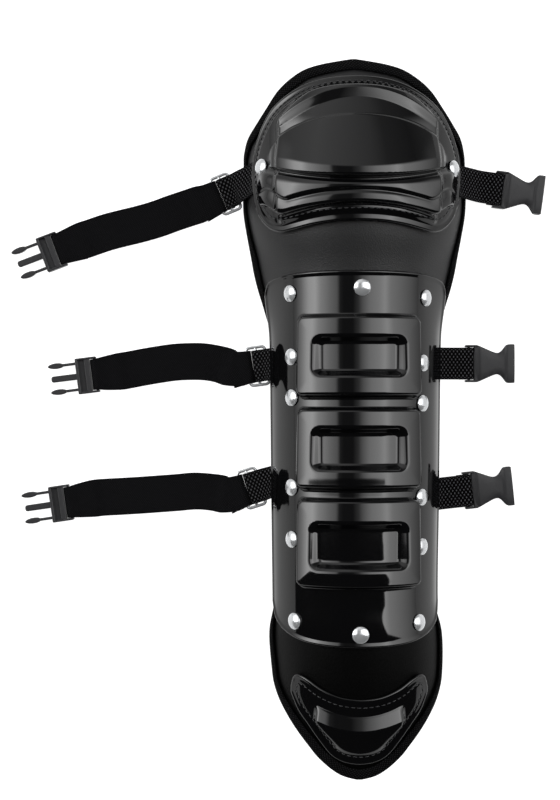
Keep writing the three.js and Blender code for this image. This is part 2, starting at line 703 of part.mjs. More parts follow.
// A wire slider: a round wire bent to a rounded frame, with a bar across its middle
const SLIDER_ROUND = 24;
const WIRE_SIDES = 6;
const RING_RADIUS = 2;
function sliderGeometry() {
  const ring = new THREE.TorusGeometry(RING_RADIUS, 1, WIRE_SIDES, SLIDER_ROUND);
  ring.deleteAttribute("normal");
  ring.deleteAttribute("uv");
  const half = new THREE.Vector2((SLIDER_LENGTH - WIRE_DIAMETER) / 2, (SLIDER_WIDTH - WIRE_DIAMETER) / 2);
  const bend = WIRE_DIAMETER;
  const perCorner = SLIDER_ROUND / 4;
  const quarterTurn = Math.PI / 2;
  const spots = ring.getAttribute("position");
  const spot = new THREE.Vector3();
  for (let i = 0; i < spots.count; i += 1) {
    spot.fromBufferAttribute(spots, i);
    const step = (i % (SLIDER_ROUND + 1)) % SLIDER_ROUND;
    const corner = Math.floor(step / perCorner);
    const turn = (corner + (step % perCorner) / (perCorner - 1)) * quarterTurn;
    const facing = (corner + 0.5) * quarterTurn;
    const out = bend + ((Math.hypot(spot.x, spot.y) - RING_RADIUS) * WIRE_DIAMETER) / 2;
    spots.setXYZ(
      i,
      Math.sign(Math.cos(facing)) * (half.x - bend) + Math.cos(turn) * out,
      Math.sign(Math.sin(facing)) * (half.y - bend) + Math.sin(turn) * out,
      (spot.z * WIRE_DIAMETER) / 2,
    );
  }
  const bar = new THREE.CylinderGeometry(WIRE_DIAMETER / 2, WIRE_DIAMETER / 2, 2 * half.y, WIRE_SIDES);
  return solidToGeometry(toSolid(ring).add(toSolid(bar)));
}

// Solids for adding and cutting
function toSolid(geometry) {
  const bare = geometry.clone();
  bare.deleteAttribute("normal");
  bare.deleteAttribute("uv");
  const merged = mergeVertices(bare, 1e-3);
  return new wasm.Manifold(
    new wasm.Mesh({
      numProp: 3,
      vertProperties: new Float32Array(merged.getAttribute("position").array),
      triVerts: new Uint32Array(merged.index.array),
    }),
  );
}
function solidToGeometry(solid) {
  const mesh = solid.getMesh();
  return new THREE.BufferGeometry()
    .setAttribute("position", new THREE.BufferAttribute(new Float32Array(mesh.vertProperties), 3))
    .setIndex(new THREE.BufferAttribute(new Uint32Array(mesh.triVerts), 1));
}
function plate(outline, low, high) {
  const shape = new THREE.Shape(outline.map(([x, y]) => new THREE.Vector2(x, y)));
  return new THREE.ExtrudeGeometry(shape, { depth: high - low, bevelEnabled: false }).translate(0, 0, low);
}
function block(x0, x1, y0, y1, z0, z1) {
  return new THREE.BoxGeometry(x1 - x0, y1 - y0, z1 - z0).translate((x0 + x1) / 2, (y0 + y1) / 2, (z0 + z1) / 2);
}

// Socket half of a buckle, from its webbing bar (x = 0) to the mouth; widths as shares of FEMALE_WIDTH
const FEMALE_EDGE = [
  { out: -0.08, half: 0.44 },
  { out: -0.04, half: 0.475 },
  { out: 0.08, half: 0.485 },
  { out: 0.2, half: 0.465 },
  { out: 0.36, half: 0.375 },
  { out: 0.52, half: 0.29 },
  { out: 0.6, half: 0.28 },
  { out: 0.67, half: 0.33 },
  { out: 0.76, half: 0.47 },
  { out: 0.8, half: 0.5 },
  { out: 0.925, half: 0.5 },
];
const SLOT_FROM = BUCKLE_BAR / 2;
const SLOT_TO = SLOT_FROM + WEBBING_THICKNESS + 2.4;
function barAcross(reach) {
  return new THREE.CylinderGeometry(BUCKLE_BAR / 2, BUCKLE_BAR / 2, 2 * reach, 8);
}
function femaleGeometry() {
  const edge = FEMALE_EDGE.map((row) => [row.out * FEMALE_LENGTH, row.half * FEMALE_WIDTH]);
  const outline = [...edge.map(([x, y]) => [x, -y]), ...edge.map(([x, y]) => [x, y]).reverse()];
  const end = 0.925 * FEMALE_LENGTH;
  const floor = SLOT_TO + BUCKLE_WALL * 1.5;
  const mouth = FEMALE_WIDTH / 2 - BUCKLE_WALL * 1.4;
  const half = BUCKLE_THICKNESS / 2;
  const slot = WEBBING_WIDTH / 2 + GAP;
  return solidToGeometry(
    toSolid(plate(outline, -half, half))
      .subtract(toSolid(block(-FEMALE_LENGTH, SLOT_TO, -slot, slot, -half - 1, half + 1)))
      .add(toSolid(barAcross(slot + BUCKLE_WALL / 4)))
      .subtract(toSolid(block(floor, end + 1, -mouth, mouth, BUCKLE_WALL - half, half - BUCKLE_WALL))),
  );
}

// How much narrower the elastic is where it is folded round a slider's or a buckle's bar
const SLIDER_NARROW = 0.88;
const BUCKLE_NARROW = 0.83;

// Pronged half: a slotted frame, a thick middle prong and two thin arms with leaf ends
const LEAF = [
  { out: 0.64, half: 0.03 },
  { out: 0.71, half: 0.072 },
  { out: 0.83, half: 0.078 },
  { out: 0.93, half: 0.05 },
  { out: 0.97, half: 0.01 },
];
const FRAME_SHARE = 0.4;
const ARM_OUT = 0.364;
function maleGeometry() {
  const half = BUCKLE_THICKNESS / 2;
  const frame = FRAME_SHARE * MALE_LENGTH;
  const wide = MALE_WIDTH / 2;
  const slot = (ELASTIC_WIDTH * BUCKLE_NARROW) / 2 + GAP;
  const arm = ARM_OUT * MALE_WIDTH;
  const prong = 2.3;
  const thin = 1.1;
  let body = toSolid(block(-BUCKLE_BAR / 2, frame, -wide, wide, 0.6 - half, half - 0.6));
  const slotFrom = BUCKLE_BAR / 2;
  const slotTo = slotFrom + ELASTIC_THICKNESS + 1.6;
  const second = slotTo + BUCKLE_BAR;
  body = body
    .subtract(toSolid(block(-BUCKLE_BAR, slotTo, -slot, slot, -half, half)))
    .subtract(toSolid(block(second, frame - 2.4, -slot, slot, -half, half)))
    .add(toSolid(barAcross(slot + BUCKLE_WALL / 4)));
  body = body.add(toSolid(block(frame - 1, MALE_LENGTH * 0.93, -prong, prong, -1.6, 1.6)));
  for (const side of [-1, 1]) {
    body = body.add(
      toSolid(block(frame - 1, MALE_LENGTH * 0.68, side * arm - thin, side * arm + thin, -1.5, 1.5)),
    );
    const leaf = LEAF.map((row) => [row.out * MALE_LENGTH, row.half * MALE_WIDTH]);
    const outline = [...leaf.map(([x, y]) => [x, arm * side - y]), ...leaf.map(([x, y]) => [x, arm * side + y]).reverse()];
    body = body.add(toSolid(plate(outline, -2.6, 2.6)));
  }
  return solidToGeometry(body);
}

// An elastic strap: its tail under the slider, over the outer bar, along the floor and round the buckle's bar
const STRAP_TAIL = 13;
const STRAP_SEWN = 17;
const STRAP_RUNS = 7;
const STRAP_LEAD = 9;
const TAIL_STATIONS = 3;
function strapPath(strap, frame) {
  const start = frame.origin.clone().addScaledVector(frame.out, (SLIDER_LENGTH - WIRE_DIAMETER) / 2);
  const points = strap.bows.map(
    (row) => new THREE.Vector3(start.x - row.out * strap.reach, start.y + row.rise * strap.reach, 0),
  );
  points.splice(1, 0, start.clone().addScaledVector(frame.out, STRAP_LEAD));
  return new THREE.CatmullRomCurve3(points, false, "centripetal");
}
function strapProfile(length) {
  const low = ELASTIC_THICKNESS / 2;
  const lifted = low + ELASTIC_THICKNESS + GAP;
  const inner = loopRound(STRAP_LOOP, SLIDER_HEIGHT, STRAP_TAIL)
    .map((p) => new THREE.Vector2(-p.x, p.y))
    .reverse();
  const outer = loopRound(MALE_LOOP, BUCKLE_HEIGHT, STRAP_SEWN).map((p) => new THREE.Vector2(length + p.x, p.y));
  const resting = length - STRAP_SEWN - 8;
  const from = STRAP_TAIL + 9;
  const runs = Array.from({ length: STRAP_RUNS }, (_, i) =>
    new THREE.Vector2(THREE.MathUtils.lerp(from, resting, i / (STRAP_RUNS - 1)), low),
  );
  return [
    ...inner,
    new THREE.Vector2(STRAP_TAIL * 0.55, lifted + 0.9),
    new THREE.Vector2(STRAP_TAIL + 1.5, lifted),
    ...runs,
    new THREE.Vector2(length - STRAP_SEWN - 1.5, lifted),
    new THREE.Vector2(length - STRAP_SEWN * 0.45, lifted + 1.2),
    ...outer,
  ];
}
function strapGeometry(path) {
  const length = path.getLength();
  const profile = strapProfile(length);
  return band(profile.length, ELASTIC_THICKNESS, (station, edge) => {
    const { x, y } = profile[station];
    const share = station < TAIL_STATIONS ? 0 : THREE.MathUtils.clamp(x / length, 0, 1);
    const tangent = path.getTangentAt(share);
    const side = new THREE.Vector3(-tangent.y, tangent.x, 0);
    const narrow = x < length / 2 ? SLIDER_NARROW : BUCKLE_NARROW;
    const near = THREE.MathUtils.smoothstep(Math.min(x, length - x), 2, STRAP_TAIL);
    const width = ELASTIC_WIDTH * THREE.MathUtils.lerp(narrow, 1, near);
    return path
      .getPointAt(share)
      .addScaledVector(tangent, x - share * length)
      .addScaledVector(side, (edge - 0.5) * width)
      .setZ(y);
  });
}

// The whole guard
const FINISHES = {
  foam: { color: 0x1b1b1c, roughness: 0.95, metalness: 0 },
  panel: { color: 0x2a2a2b, roughness: 0.7, metalness: 0 },
  tape: { color: 0x121213, roughness: 0.95, metalness: 0 },
  gloss: { color: 0x050505, roughness: 0.12, metalness: 0 },
  chrome: { color: 0xc9ccd0, roughness: 0.15, metalness: 1 },
  webbing: { color: 0x0d0d0e, roughness: 0.95, metalness: 0 },
  elastic: { color: 0x101011, roughness: 0.95, metalness: 0 },
  plastic: { color: 0x2c2c2e, roughness: 0.55, metalness: 0 },
};
const guard = new THREE.Group();
guard.name = "catcher_leg_guard";
function addPiece(name, geometry, finish) {
  const mesh = new THREE.Mesh(geometry, new THREE.MeshStandardMaterial(FINISHES[finish]));
  mesh.name = name;
  guard.add(mesh);
  return mesh;
}

addPiece("backing_pad", padGeometry, "foam");
addPiece("front_panel", panelGeometry, "panel");
addPiece("edge_binding", tapeGeometry, "tape");
addPiece("knee_cap_shell", kneeGeometry, "gloss");
addPiece("shin_shell", shinGeometry, "gloss");
addPiece("ankle_cap_shell", ankleGeometry, "gloss");

const zAxis = new THREE.Vector3(0, 0, 1);
for (const rivet of RIVETS) {
  const mesh = addPiece("rivet_" + rivet.name, rivetGeometry(), "chrome");
  const outward = outwardAt(rivet.at, rivet.turn, SHELL_HIGH);
  const relief = rivet.name.startsWith("knee") ? kneeRelief(rivet) : 0;
  mesh.position.copy(onForm(rivet.at, rivet.turn, SHELL_HIGH + relief)).addScaledVector(outward, GAP);
  mesh.quaternion.setFromUnitVectors(zAxis, outward);
}

const straps = [...STRAPS];
for (const tab of TABS) {
  const frame = barFrame(tab);
  addPiece("webbing_tab_" + tab.name, tabGeometry(tab), "webbing");
  const turned = Math.atan2(frame.out.y, frame.out.x);
  if (tab.holds === "buckle") {
    const socket = addPiece("female_buckle_" + tab.name.replace("right_", ""), femaleGeometry(), "plastic");
    socket.position.copy(frame.origin).setZ(BUCKLE_HEIGHT);
    socket.rotation.z = turned;
    continue;
  }
  const strap = straps.shift();
  const slider = addPiece("wire_slider_" + strap.name, sliderGeometry(), "chrome");
  slider.position.copy(frame.origin).setZ(SLIDER_HEIGHT);
  slider.rotation.z = turned;
  const path = strapPath(strap, frame);
  addPiece("elastic_strap_" + strap.name, strapGeometry(path), "elastic");
  const end = path.getTangentAt(1);
  const buckle = addPiece("male_buckle_" + strap.name, maleGeometry(), "plastic");
  buckle.position.copy(path.getPointAt(1)).setZ(BUCKLE_HEIGHT);
  buckle.rotation.z = Math.atan2(end.y, end.x);
}

// Origin on the floor under the middle of the whole guard
const bounds = new THREE.Box3().setFromObject(guard, true);
const centre = bounds.getCenter(new THREE.Vector3());
guard.position.set(-centre.x, -centre.y, -bounds.min.z);

export default guard;
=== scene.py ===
# %% [markdown]
# # A catcher's leg guard on a white table
# The guard is a curved foam pad with a cloth skin and a taped rim. Hard glossy shells are riveted over it,
# and straps with side release buckles leave both sides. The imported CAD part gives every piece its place.
# Here each piece gets its fine shape and its finish. Almost all of them are built as arrays of points that
# are worked out at once, because a formula says more about a moulded form than pushed and pulled points.

import math

import bmesh
import bpy
import numpy as np
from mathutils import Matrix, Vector


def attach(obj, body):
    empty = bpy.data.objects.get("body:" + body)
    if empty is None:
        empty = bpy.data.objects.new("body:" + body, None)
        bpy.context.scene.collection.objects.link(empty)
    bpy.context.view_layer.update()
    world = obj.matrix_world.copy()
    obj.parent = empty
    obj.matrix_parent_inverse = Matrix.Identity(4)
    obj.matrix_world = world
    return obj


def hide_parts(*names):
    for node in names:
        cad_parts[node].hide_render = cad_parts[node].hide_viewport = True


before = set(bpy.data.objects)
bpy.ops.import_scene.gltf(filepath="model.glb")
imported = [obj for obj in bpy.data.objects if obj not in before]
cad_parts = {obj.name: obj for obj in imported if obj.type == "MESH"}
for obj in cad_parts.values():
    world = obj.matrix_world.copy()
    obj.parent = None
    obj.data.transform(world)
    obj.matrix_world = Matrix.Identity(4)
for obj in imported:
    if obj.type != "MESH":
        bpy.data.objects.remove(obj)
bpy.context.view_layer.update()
MM = 0.001

# %% [markdown]
# ## Camera
# The photograph looks straight down on the guard from a little over a metre, so the knee cap, which is
# nearest, looks a little larger than the buckles on the table. The lens could be found by trial. It is
# worked out here from the width of table that one pixel covers, so it follows when the camera moves.

# %% Camera over the table
PHOTO_HEIGHT_PIXELS = 800
TABLE_MM_PER_PIXEL = 0.77
CAMERA_HEIGHT = 1.150
SENSOR_MM = 36.0
AXIS_X = 58.263
CAMERA_X, CAMERA_Y = AXIS_X - 57.0, 16.5

camera_data = bpy.data.cameras.new("photo_camera")
camera_data.sensor_width = SENSOR_MM
camera_data.lens = SENSOR_MM * CAMERA_HEIGHT / (PHOTO_HEIGHT_PIXELS * TABLE_MM_PER_PIXEL * MM)
camera = bpy.data.objects.new("photo_camera", camera_data)
camera.location = (CAMERA_X * MM, CAMERA_Y * MM, CAMERA_HEIGHT)
bpy.context.scene.collection.objects.link(camera)
bpy.context.scene.camera = camera
print("lens in mm:", round(camera_data.lens, 1))

# %% [markdown]
# ## Colours and nodes
# Colours are picked as sRGB hex values and turned to the linear values that shaders use. Nodes could be
# placed by hand in the shader editor. Here small helpers add each node with its settings and its links,
# so that a finish reads from top to bottom.

# %% Helpers for materials
def linear(hex_colour):
    """An sRGB hex colour as linear RGBA: each channel over 0.04045 is raised to the power 2.4."""
    channels = np.array([int(hex_colour[i : i + 2], 16) for i in (0, 2, 4)]) / 255
    low = channels / 12.92
    high = ((channels + 0.055) / 1.055) ** 2.4
    return (*np.where(channels <= 0.04045, low, high).tolist(), 1.0)


def add_node(material, kind, settings=None, links=None, **attributes):
    """Adds one node. settings are its socket values, links maps its sockets to other nodes' outputs."""
    node = material.node_tree.nodes.new(kind)
    for name, value in attributes.items():
        setattr(node, name, value)
    for name, value in (settings or {}).items():
        node.inputs[name].default_value = value
    for name, output in (links or {}).items():
        material.node_tree.links.new(output, node.inputs[name])
    return node


def start_material(name, **sockets):
    """A material whose Principled shader has the given socket values. Returns it with its shader."""
    material = bpy.data.materials.new(name)
    material.use_nodes = True
    shader = material.node_tree.nodes["Principled BSDF"]
    for socket, value in sockets.items():
        shader.inputs[socket.replace("_", " ")].default_value = value
    return material, shader


def join_nodes(material, output, socket):
    """Links one node's output to another node's socket."""
    material.node_tree.links.new(output, socket)


def object_place(material):
    """The shaded point in the object's own metres, for patterns that stay put on the piece."""
    return add_node(material, "ShaderNodeTexCoord").outputs["Object"]


def blend(material, share, first, second):
    """A colour between two hex colours: the first where the share is 0, the second where it is 1."""
    colours = {6: linear(first), 7: linear(second)}
    return add_node(material, "ShaderNodeMix", colours, {0: share}, data_type="RGBA").outputs[2]


def bump_by(material, shader, height, strength, distance):
    """Tips the shader's normal by the slope of a height."""
    settings = {"Strength": strength, "Distance": distance}
    bump = add_node(material, "ShaderNodeBump", settings, {"Height": height})
    join_nodes(material, bump.outputs["Normal"], shader.inputs["Normal"])


# %% [markdown]
# ## Light table and tent
# The photograph was taken on a light table, a white sheet that glows by itself, so nothing throws a
# shadow on it. Its sheet sends most of its light straight up, and less at a low angle. The gloss shells
# mirror a white tent: two long lamps behind its sides with a dark gap between them overhead, where the
# camera stands, and an open dark front toward the ankle. The tent could be lit cards round the guard. But
# only its direction counts for what a shell mirrors, so it is a function of direction: the world's shader.

# %% Light table
def flat_card(name, centre, half_x, half_y):
    """A level rectangle: four corners at the centre plus and minus the two half sizes."""
    x, y, z = centre
    signs = [(-1, -1), (1, -1), (1, 1), (-1, 1)]
    corners = [(x + sx * half_x, y + sy * half_y, z) for sx, sy in signs]
    mesh = bpy.data.meshes.new(name)
    mesh.from_pydata(corners, [], [(0, 1, 2, 3)])
    card = bpy.data.objects.new(name, mesh)
    bpy.context.scene.collection.objects.link(card)
    return card


table_sheet, table_shader = start_material(
    "light_table_sheet", Base_Color=linear("B0B0B0"), Roughness=0.9, Emission_Strength=1.0
)
table_shader.inputs["Emission Color"].default_value = (1, 1, 1, 1)
TABLE_UNDER, TABLE_HALF = 0.0006, 40
light_table = flat_card("light_table", (0, 0, -TABLE_UNDER), TABLE_HALF, TABLE_HALF)
light_table.data.materials.append(table_sheet)
bpy.context.scene.view_settings.view_transform = "Standard"


# %% Nodes that do sums
def math_node(material, operation, *operands):
    """A math node. Each operand is a number or another node's output."""
    node = add_node(material, "ShaderNodeMath", operation=operation)
    for index, operand in enumerate(operands):
        if isinstance(operand, (int, float)):
            node.inputs[index].default_value = operand
        else:
            material.node_tree.links.new(operand, node.inputs[index])
    return node.outputs[0]


def soft_step(material, value, low, high):
    """Smoothly from 0 at low to 1 at high."""
    step = add_node(
        material,
        "ShaderNodeMapRange",
        {"From Min": low, "From Max": high},
        {"Value": value},
        interpolation_type="SMOOTHSTEP",
    )
    return step.outputs[0]


def ramp_node(material, value, stops):
    """A grey ramp: stops are (place from 0 to 1, brightness), joined by straight lines."""
    ramp = add_node(material, "ShaderNodeValToRGB", links={"Fac": value})
    elements = ramp.color_ramp.elements
    ends = [elements[0], elements[1]]
    ends[0].position, ends[1].position = stops[0][0], stops[-1][0]
    middle = [elements.new(place) for place, _ in stops[1:-1]]
    for element, level in zip([elements[0], *middle, elements[-1]], [level for _, level in stops]):
        element.color = (level, level, level, 1)
    return ramp.outputs[0]


# %% The sheet's glow at a low angle
# Rows are (how steeply the light leaves the sheet, from 0 to 1, and its brightness)
SHEET_GLOW = [(0, 0.2), (0.3, 0.36), (0.62, 0.45), (0.92, 1.0), (1, 1.0)]
sheet_ray = add_node(table_sheet, "ShaderNodeNewGeometry")
sheet_parts = add_node(table_sheet, "ShaderNodeSeparateXYZ", links={"Vector": sheet_ray.outputs["Incoming"]})
sheet_glow = ramp_node(table_sheet, sheet_parts.outputs["Z"], SHEET_GLOW)
join_nodes(table_sheet, sheet_glow, table_shader.inputs["Emission Strength"])

# %% Tent as the world's shader
BRIGHTEST = 6.0
SIDE_LIGHT = [
    # angle from overhead toward +X in degrees, brightness
    (-92, 0.5), (-84, 0.9), (-76, 2.0), (-64, 4.9), (-55, 5.6), (-47, 3.5), (-34, 2.1), (-25, 1.4),
    (-21, 0.15), (-16, 0.05), (-4, 0.05), (3, 0.4), (8, 1.2), (18, 2.5), (30, 3.2), (38, 4.1),
    (46, 2.7), (60, 2.0), (80, 1.0), (91, 0.5),
]
FAR_REACH = 0.22
FRONT_REACH = [
    # angle from overhead toward +X in degrees, how far forward the tent reaches there
    (-90, 0.13), (-66, 0.12), (-58, 0.09), (2, 0.088), (34, 0.092), (42, 0.18), (62, 0.21), (90, 0.22),
]
BACK_LIGHT = [(-90, 0.4), (-70, 0.6), (-40, 0.8), (-5, 0.55), (15, 0.4), (30, 0.18), (60, 0.08), (90, 0.2)]

studio = bpy.data.worlds.new("tent_studio")
studio.use_nodes = True
bpy.context.scene.world = studio
background = studio.node_tree.nodes["Background"]
background.inputs["Color"].default_value = (1, 1, 1, 1)
ray = add_node(studio, "ShaderNodeNewGeometry")
ray_parts = add_node(studio, "ShaderNodeSeparateXYZ", links={"Vector": ray.outputs["Incoming"]})
to_x = math_node(studio, "MULTIPLY", ray_parts.outputs["X"], -1.0)
to_y = math_node(studio, "MULTIPLY", ray_parts.outputs["Y"], -1.0)
to_z = math_node(studio, "MULTIPLY", ray_parts.outputs["Z"], -1.0)
side_angle = math_node(studio, "ARCTAN2", to_x, to_z)
side_share = math_node(studio, "MULTIPLY_ADD", side_angle, 1 / math.pi, 0.5)


def angle_stops(table):
    """The table's angles as shares of the half turn from -90 to 90 degrees, brightness over the brightest."""
    return [(min(1.0, max(0.0, angle / 180 + 0.5)), level / BRIGHTEST) for angle, level in table]


side_light = ramp_node(studio, side_share, angle_stops(SIDE_LIGHT))
back_light = ramp_node(studio, side_share, angle_stops(BACK_LIGHT))
front_share = ramp_node(studio, side_share, [(a / 180 + 0.5, reach / FAR_REACH) for a, reach in FRONT_REACH])
front_reach = math_node(studio, "MULTIPLY_ADD", front_share, FAR_REACH, to_y)
inside_tent = soft_step(studio, front_reach, -0.008, 0.008)
toward_back = soft_step(studio, to_y, 0.42, 0.58)
light = add_node(
    studio,
    "ShaderNodeMix",
    links={0: toward_back, 2: math_node(studio, "MULTIPLY", side_light, inside_tent), 3: back_light},
)
level = math_node(studio, "MULTIPLY_ADD", light.outputs[0], BRIGHTEST, 0.02)
join_nodes(studio, level, background.inputs["Strength"])
print("tent stops:", len(SIDE_LIGHT), "at the sides and", len(BACK_LIGHT), "behind")

# %% [markdown]
# ## The leg form
# Every layer follows one form: sections across the leg are arcs, and a short table says how the arc's
# radius, its centre's depth, the flare of its sides and its sideways drift change from knee to ankle. A
# place on the guard is a share of its length and a turn round the leg, and a lift carries it outward. Each
# layer could be modelled by itself, but one form keeps panel, webbing and shells evenly apart.

# %% Leg form
# Lengths are in mm from here on, and a place along the guard is a share of its length.
GUARD_LENGTH = 535.0
KNEE_RADIUS = 84.5
LEG_FORM = np.array([
    # place along the guard, then in knee radii: radius, sink of the centre, flare of the sides, drift
    (0, 0.99, 0.49, 0, -0.03),
    (0.03, 0.995, 0.38, 0, -0.02),
    (0.08, 1, 0.262, 0, -0.01),
    (0.14, 0.992, 0.19, 0, 0),
    (0.2, 0.982, 0.15, 0.006, 0),
    (0.24, 0.893, 0.085, 0.065, 0),
    (0.28, 0.77, 0.02, 0.135, 0),
    (0.31, 0.72, 0, 0.13, 0),
    (0.34, 0.708, 0, 0.08, 0),
    (0.38, 0.704, 0, 0.015, 0),
    (0.5, 0.698, 0, 0, 0),
    (0.62, 0.69, 0, 0, 0),
    (0.75, 0.68, 0, 0, 0),
    (0.8, 0.69, 0.015, 0.065, 0.012),
    (0.85, 0.716, 0.095, 0.06, 0.025),
    (0.9, 0.728, 0.19, 0.04, 0.03),
    (0.95, 0.734, 0.308, 0.012, 0.03),
    (1, 0.734, 0.43, 0, 0.03),
])
# Degrees of turn between which the sides flare
FLARE_FROM, FLARE_TO = 50.0, 90.0


def smooth_table(places, values):
    """A smooth curve through a table: cubic pieces whose slope at each row is that between its neighbours."""
    x0, y0 = np.asarray(places, float), np.asarray(values, float)
    slope = np.empty_like(y0)
    slope[1:-1] = (y0[2:] - y0[:-2]) / (x0[2:] - x0[:-2])
    slope[0] = 1.5 * (y0[1] - y0[0]) / (x0[1] - x0[0]) - 0.5 * slope[1]
    slope[-1] = 1.5 * (y0[-1] - y0[-2]) / (x0[-1] - x0[-2]) - 0.5 * slope[-2]

    def curve(x):
        x = np.clip(x, x0[0], x0[-1])
        i = np.clip(np.searchsorted(x0, x, side="right") - 1, 0, len(x0) - 2)
        h = x0[i + 1] - x0[i]
        t = (x - x0[i]) / h
        start = y0[i] * (1 + 2 * t) * (1 - t) ** 2 + h * slope[i] * t * (1 - t) ** 2
        return start + y0[i + 1] * t * t * (3 - 2 * t) + h * slope[i + 1] * t * t * (t - 1)

    return curve


form_radius, form_sink, form_flare, form_drift = (
    smooth_table(LEG_FORM[:, 0], LEG_FORM[:, column]) for column in (1, 2, 3, 4)
)


def on_form(at, turn, lift):
    """Points over the form, in mm: radius plus lift swung by the turn, then flare, drift and sink added."""
    at, turn, lift = np.broadcast_arrays(np.asarray(at, float), turn, lift)
    reach = form_radius(at) * KNEE_RADIUS + lift
    spread = np.maximum(0, (np.abs(turn) - FLARE_FROM) / (FLARE_TO - FLARE_FROM))
    flare = np.maximum(0, form_flare(at)) * KNEE_RADIUS * spread**2 * np.sign(turn)
    x = reach * np.sin(np.radians(turn)) + flare + form_drift(at) * KNEE_RADIUS
    z = reach * np.cos(np.radians(turn)) - form_sink(at) * KNEE_RADIUS
    return np.stack([x + AXIS_X, GUARD_LENGTH * (0.5 - at), z], axis=-1)


def laid_flat(at, turn):
    """A place laid flat, in mm: the arc from the crest, and the distance down the guard."""
    return np.stack([np.radians(turn) * form_radius(at) * KNEE_RADIUS, at * GUARD_LENGTH], axis=-1)


def smooth_step(x, low=0.0, high=1.0):
    """Goes from 0 at low to 1 at high with level ends."""
    t = np.clip((x - low) / (high - low), 0, 1)
    return t * t * (3 - 2 * t)


print("crest height at the knee in mm:", np.round(on_form(0.15, 0, 0)[2], 1))

# %% [markdown]
# ## Patches
# The panel, the shells and the pad are patches of the form. A patch has two side edges, given as a turn
# round the leg, and two end edges that bow, given as a table from the middle to the side. A patch could be
# cut out of a larger sheet, which leaves ragged edges. Here its grid bends with those edges instead, so
# that its outermost lines are the piece's true outline.

# %% Patch outlines
# The pad's thickness at its rim, and how far the rim's back stays over the table
PAD_RIM, RIM_CLEAR = 5.5, 1.9


def rim_turn(at):
    """The turn at which the back of the pad's rim stands clear of the table by the tape's thickness."""
    share = (form_sink(at) * KNEE_RADIUS + RIM_CLEAR) / (form_radius(at) * KNEE_RADIUS - PAD_RIM)
    return np.degrees(np.arccos(np.clip(share, -1, 1)))


class Patch:
    """A patch of the leg form. sides has rows of (place, turn), top and bottom have rows of (share from the
    middle to the side, place). The end edges' bows have faded away at top_hold and at bottom_hold."""

    def __init__(self, sides, top, bottom, top_hold, bottom_hold):
        self.sides = np.array(sides, float)
        self.top = smooth_table(*np.array(top, float).T)
        self.bottom = smooth_table(*np.array(bottom, float).T)
        self.first, self.last = float(self.top(0)), float(self.bottom(0))
        self.top_hold, self.bottom_hold = top_hold, bottom_hold

    def along(self, across, station):
        """The row's place on the crest plus the bow of the end edges, which fades away from each end."""
        top_fade = np.maximum(0, 1 - (station - self.first) / (self.top_hold - self.first))
        bottom_fade = np.maximum(0, 1 - (self.last - station) / (self.last - self.bottom_hold))
        bow = (self.top(across) - self.first) * top_fade
        return station + bow + (self.bottom(across) - self.last) * bottom_fade

    def place(self, across, station):
        """Place along the guard and turn round it, for a share across and a row's station."""
        edge_at = self.along(np.ones_like(across * station), station)
        edge = np.minimum(np.interp(edge_at, self.sides[:, 0], self.sides[:, 1]), rim_turn(edge_at))
        return self.along(np.abs(across), station), across * edge

    def rim(self, count=240):
        """The outline walked once round, laid flat: top edge, right side, bottom edge, left side."""
        run = np.linspace(0, 1, count)
        across = np.concatenate([2 * run - 1, np.ones(count), 1 - 2 * run, -np.ones(count)])
        share = np.concatenate([np.zeros(count), run, np.ones(count), 1 - run])
        at, turn = self.place(across, self.first + share * (self.last - self.first))
        flat = laid_flat(at, turn)
        keep = np.linalg.norm(flat - np.roll(flat, 1, axis=0), axis=1) > 1e-6
        return flat[keep]


def distance_to_line(points, line):
    """The distance from each flat point to the nearest stretch of a closed line."""
    start, run = line, np.roll(line, -1, axis=0) - line
    length = np.maximum((run**2).sum(1), 1e-12)
    nearest = np.full(len(points), np.inf)
    for part in np.array_split(np.arange(len(line)), max(1, len(line) // 60)):
        offset = points[:, None, :] - start[None, part]
        share = np.clip((offset * run[part]).sum(2) / length[part], 0, 1)
        gap = offset - share[..., None] * run[part]
        nearest = np.minimum(nearest, np.sqrt((gap**2).sum(2)).min(1))
    return nearest


# %% Grids to meshes
def grid_quads(rows, columns, first=0):
    """Quads of a grid of points whose rows run down the guard and whose columns run to the right."""
    index = np.arange(rows * columns).reshape(rows, columns) + first
    corners = [index[:-1, :-1], index[1:, :-1], index[1:, 1:], index[:-1, 1:]]
    return np.stack(corners, axis=-1).reshape(-1, 4)


def make_piece(name, points, faces, material, uv=None):
    """A mesh object from points in mm. uv gives one flat place per point. Faces of more than four corners
    are a plate's flat sides, so they alone aren't shaded smooth."""
    mesh = bpy.data.meshes.new(name)
    mesh.from_pydata((np.asarray(points) * MM).tolist(), [], [list(map(int, f)) for f in faces])
    if uv is not None:
        layer = mesh.uv_layers.new(name="flat")
        corners = np.empty(len(mesh.loops), int)
        mesh.loops.foreach_get("vertex_index", corners)
        layer.data.foreach_set("uv", (np.asarray(uv)[corners] * MM).ravel())
    mesh.polygons.foreach_set("use_smooth", [len(face) <= 4 for face in faces])
    mesh.materials.append(material)
    piece = bpy.data.objects.new(name, mesh)
    bpy.context.scene.collection.objects.link(piece)
    return piece


def stand_for(piece, slot, *nodes):
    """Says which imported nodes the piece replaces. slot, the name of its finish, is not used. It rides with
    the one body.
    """
    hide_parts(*nodes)
    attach(piece, "root")


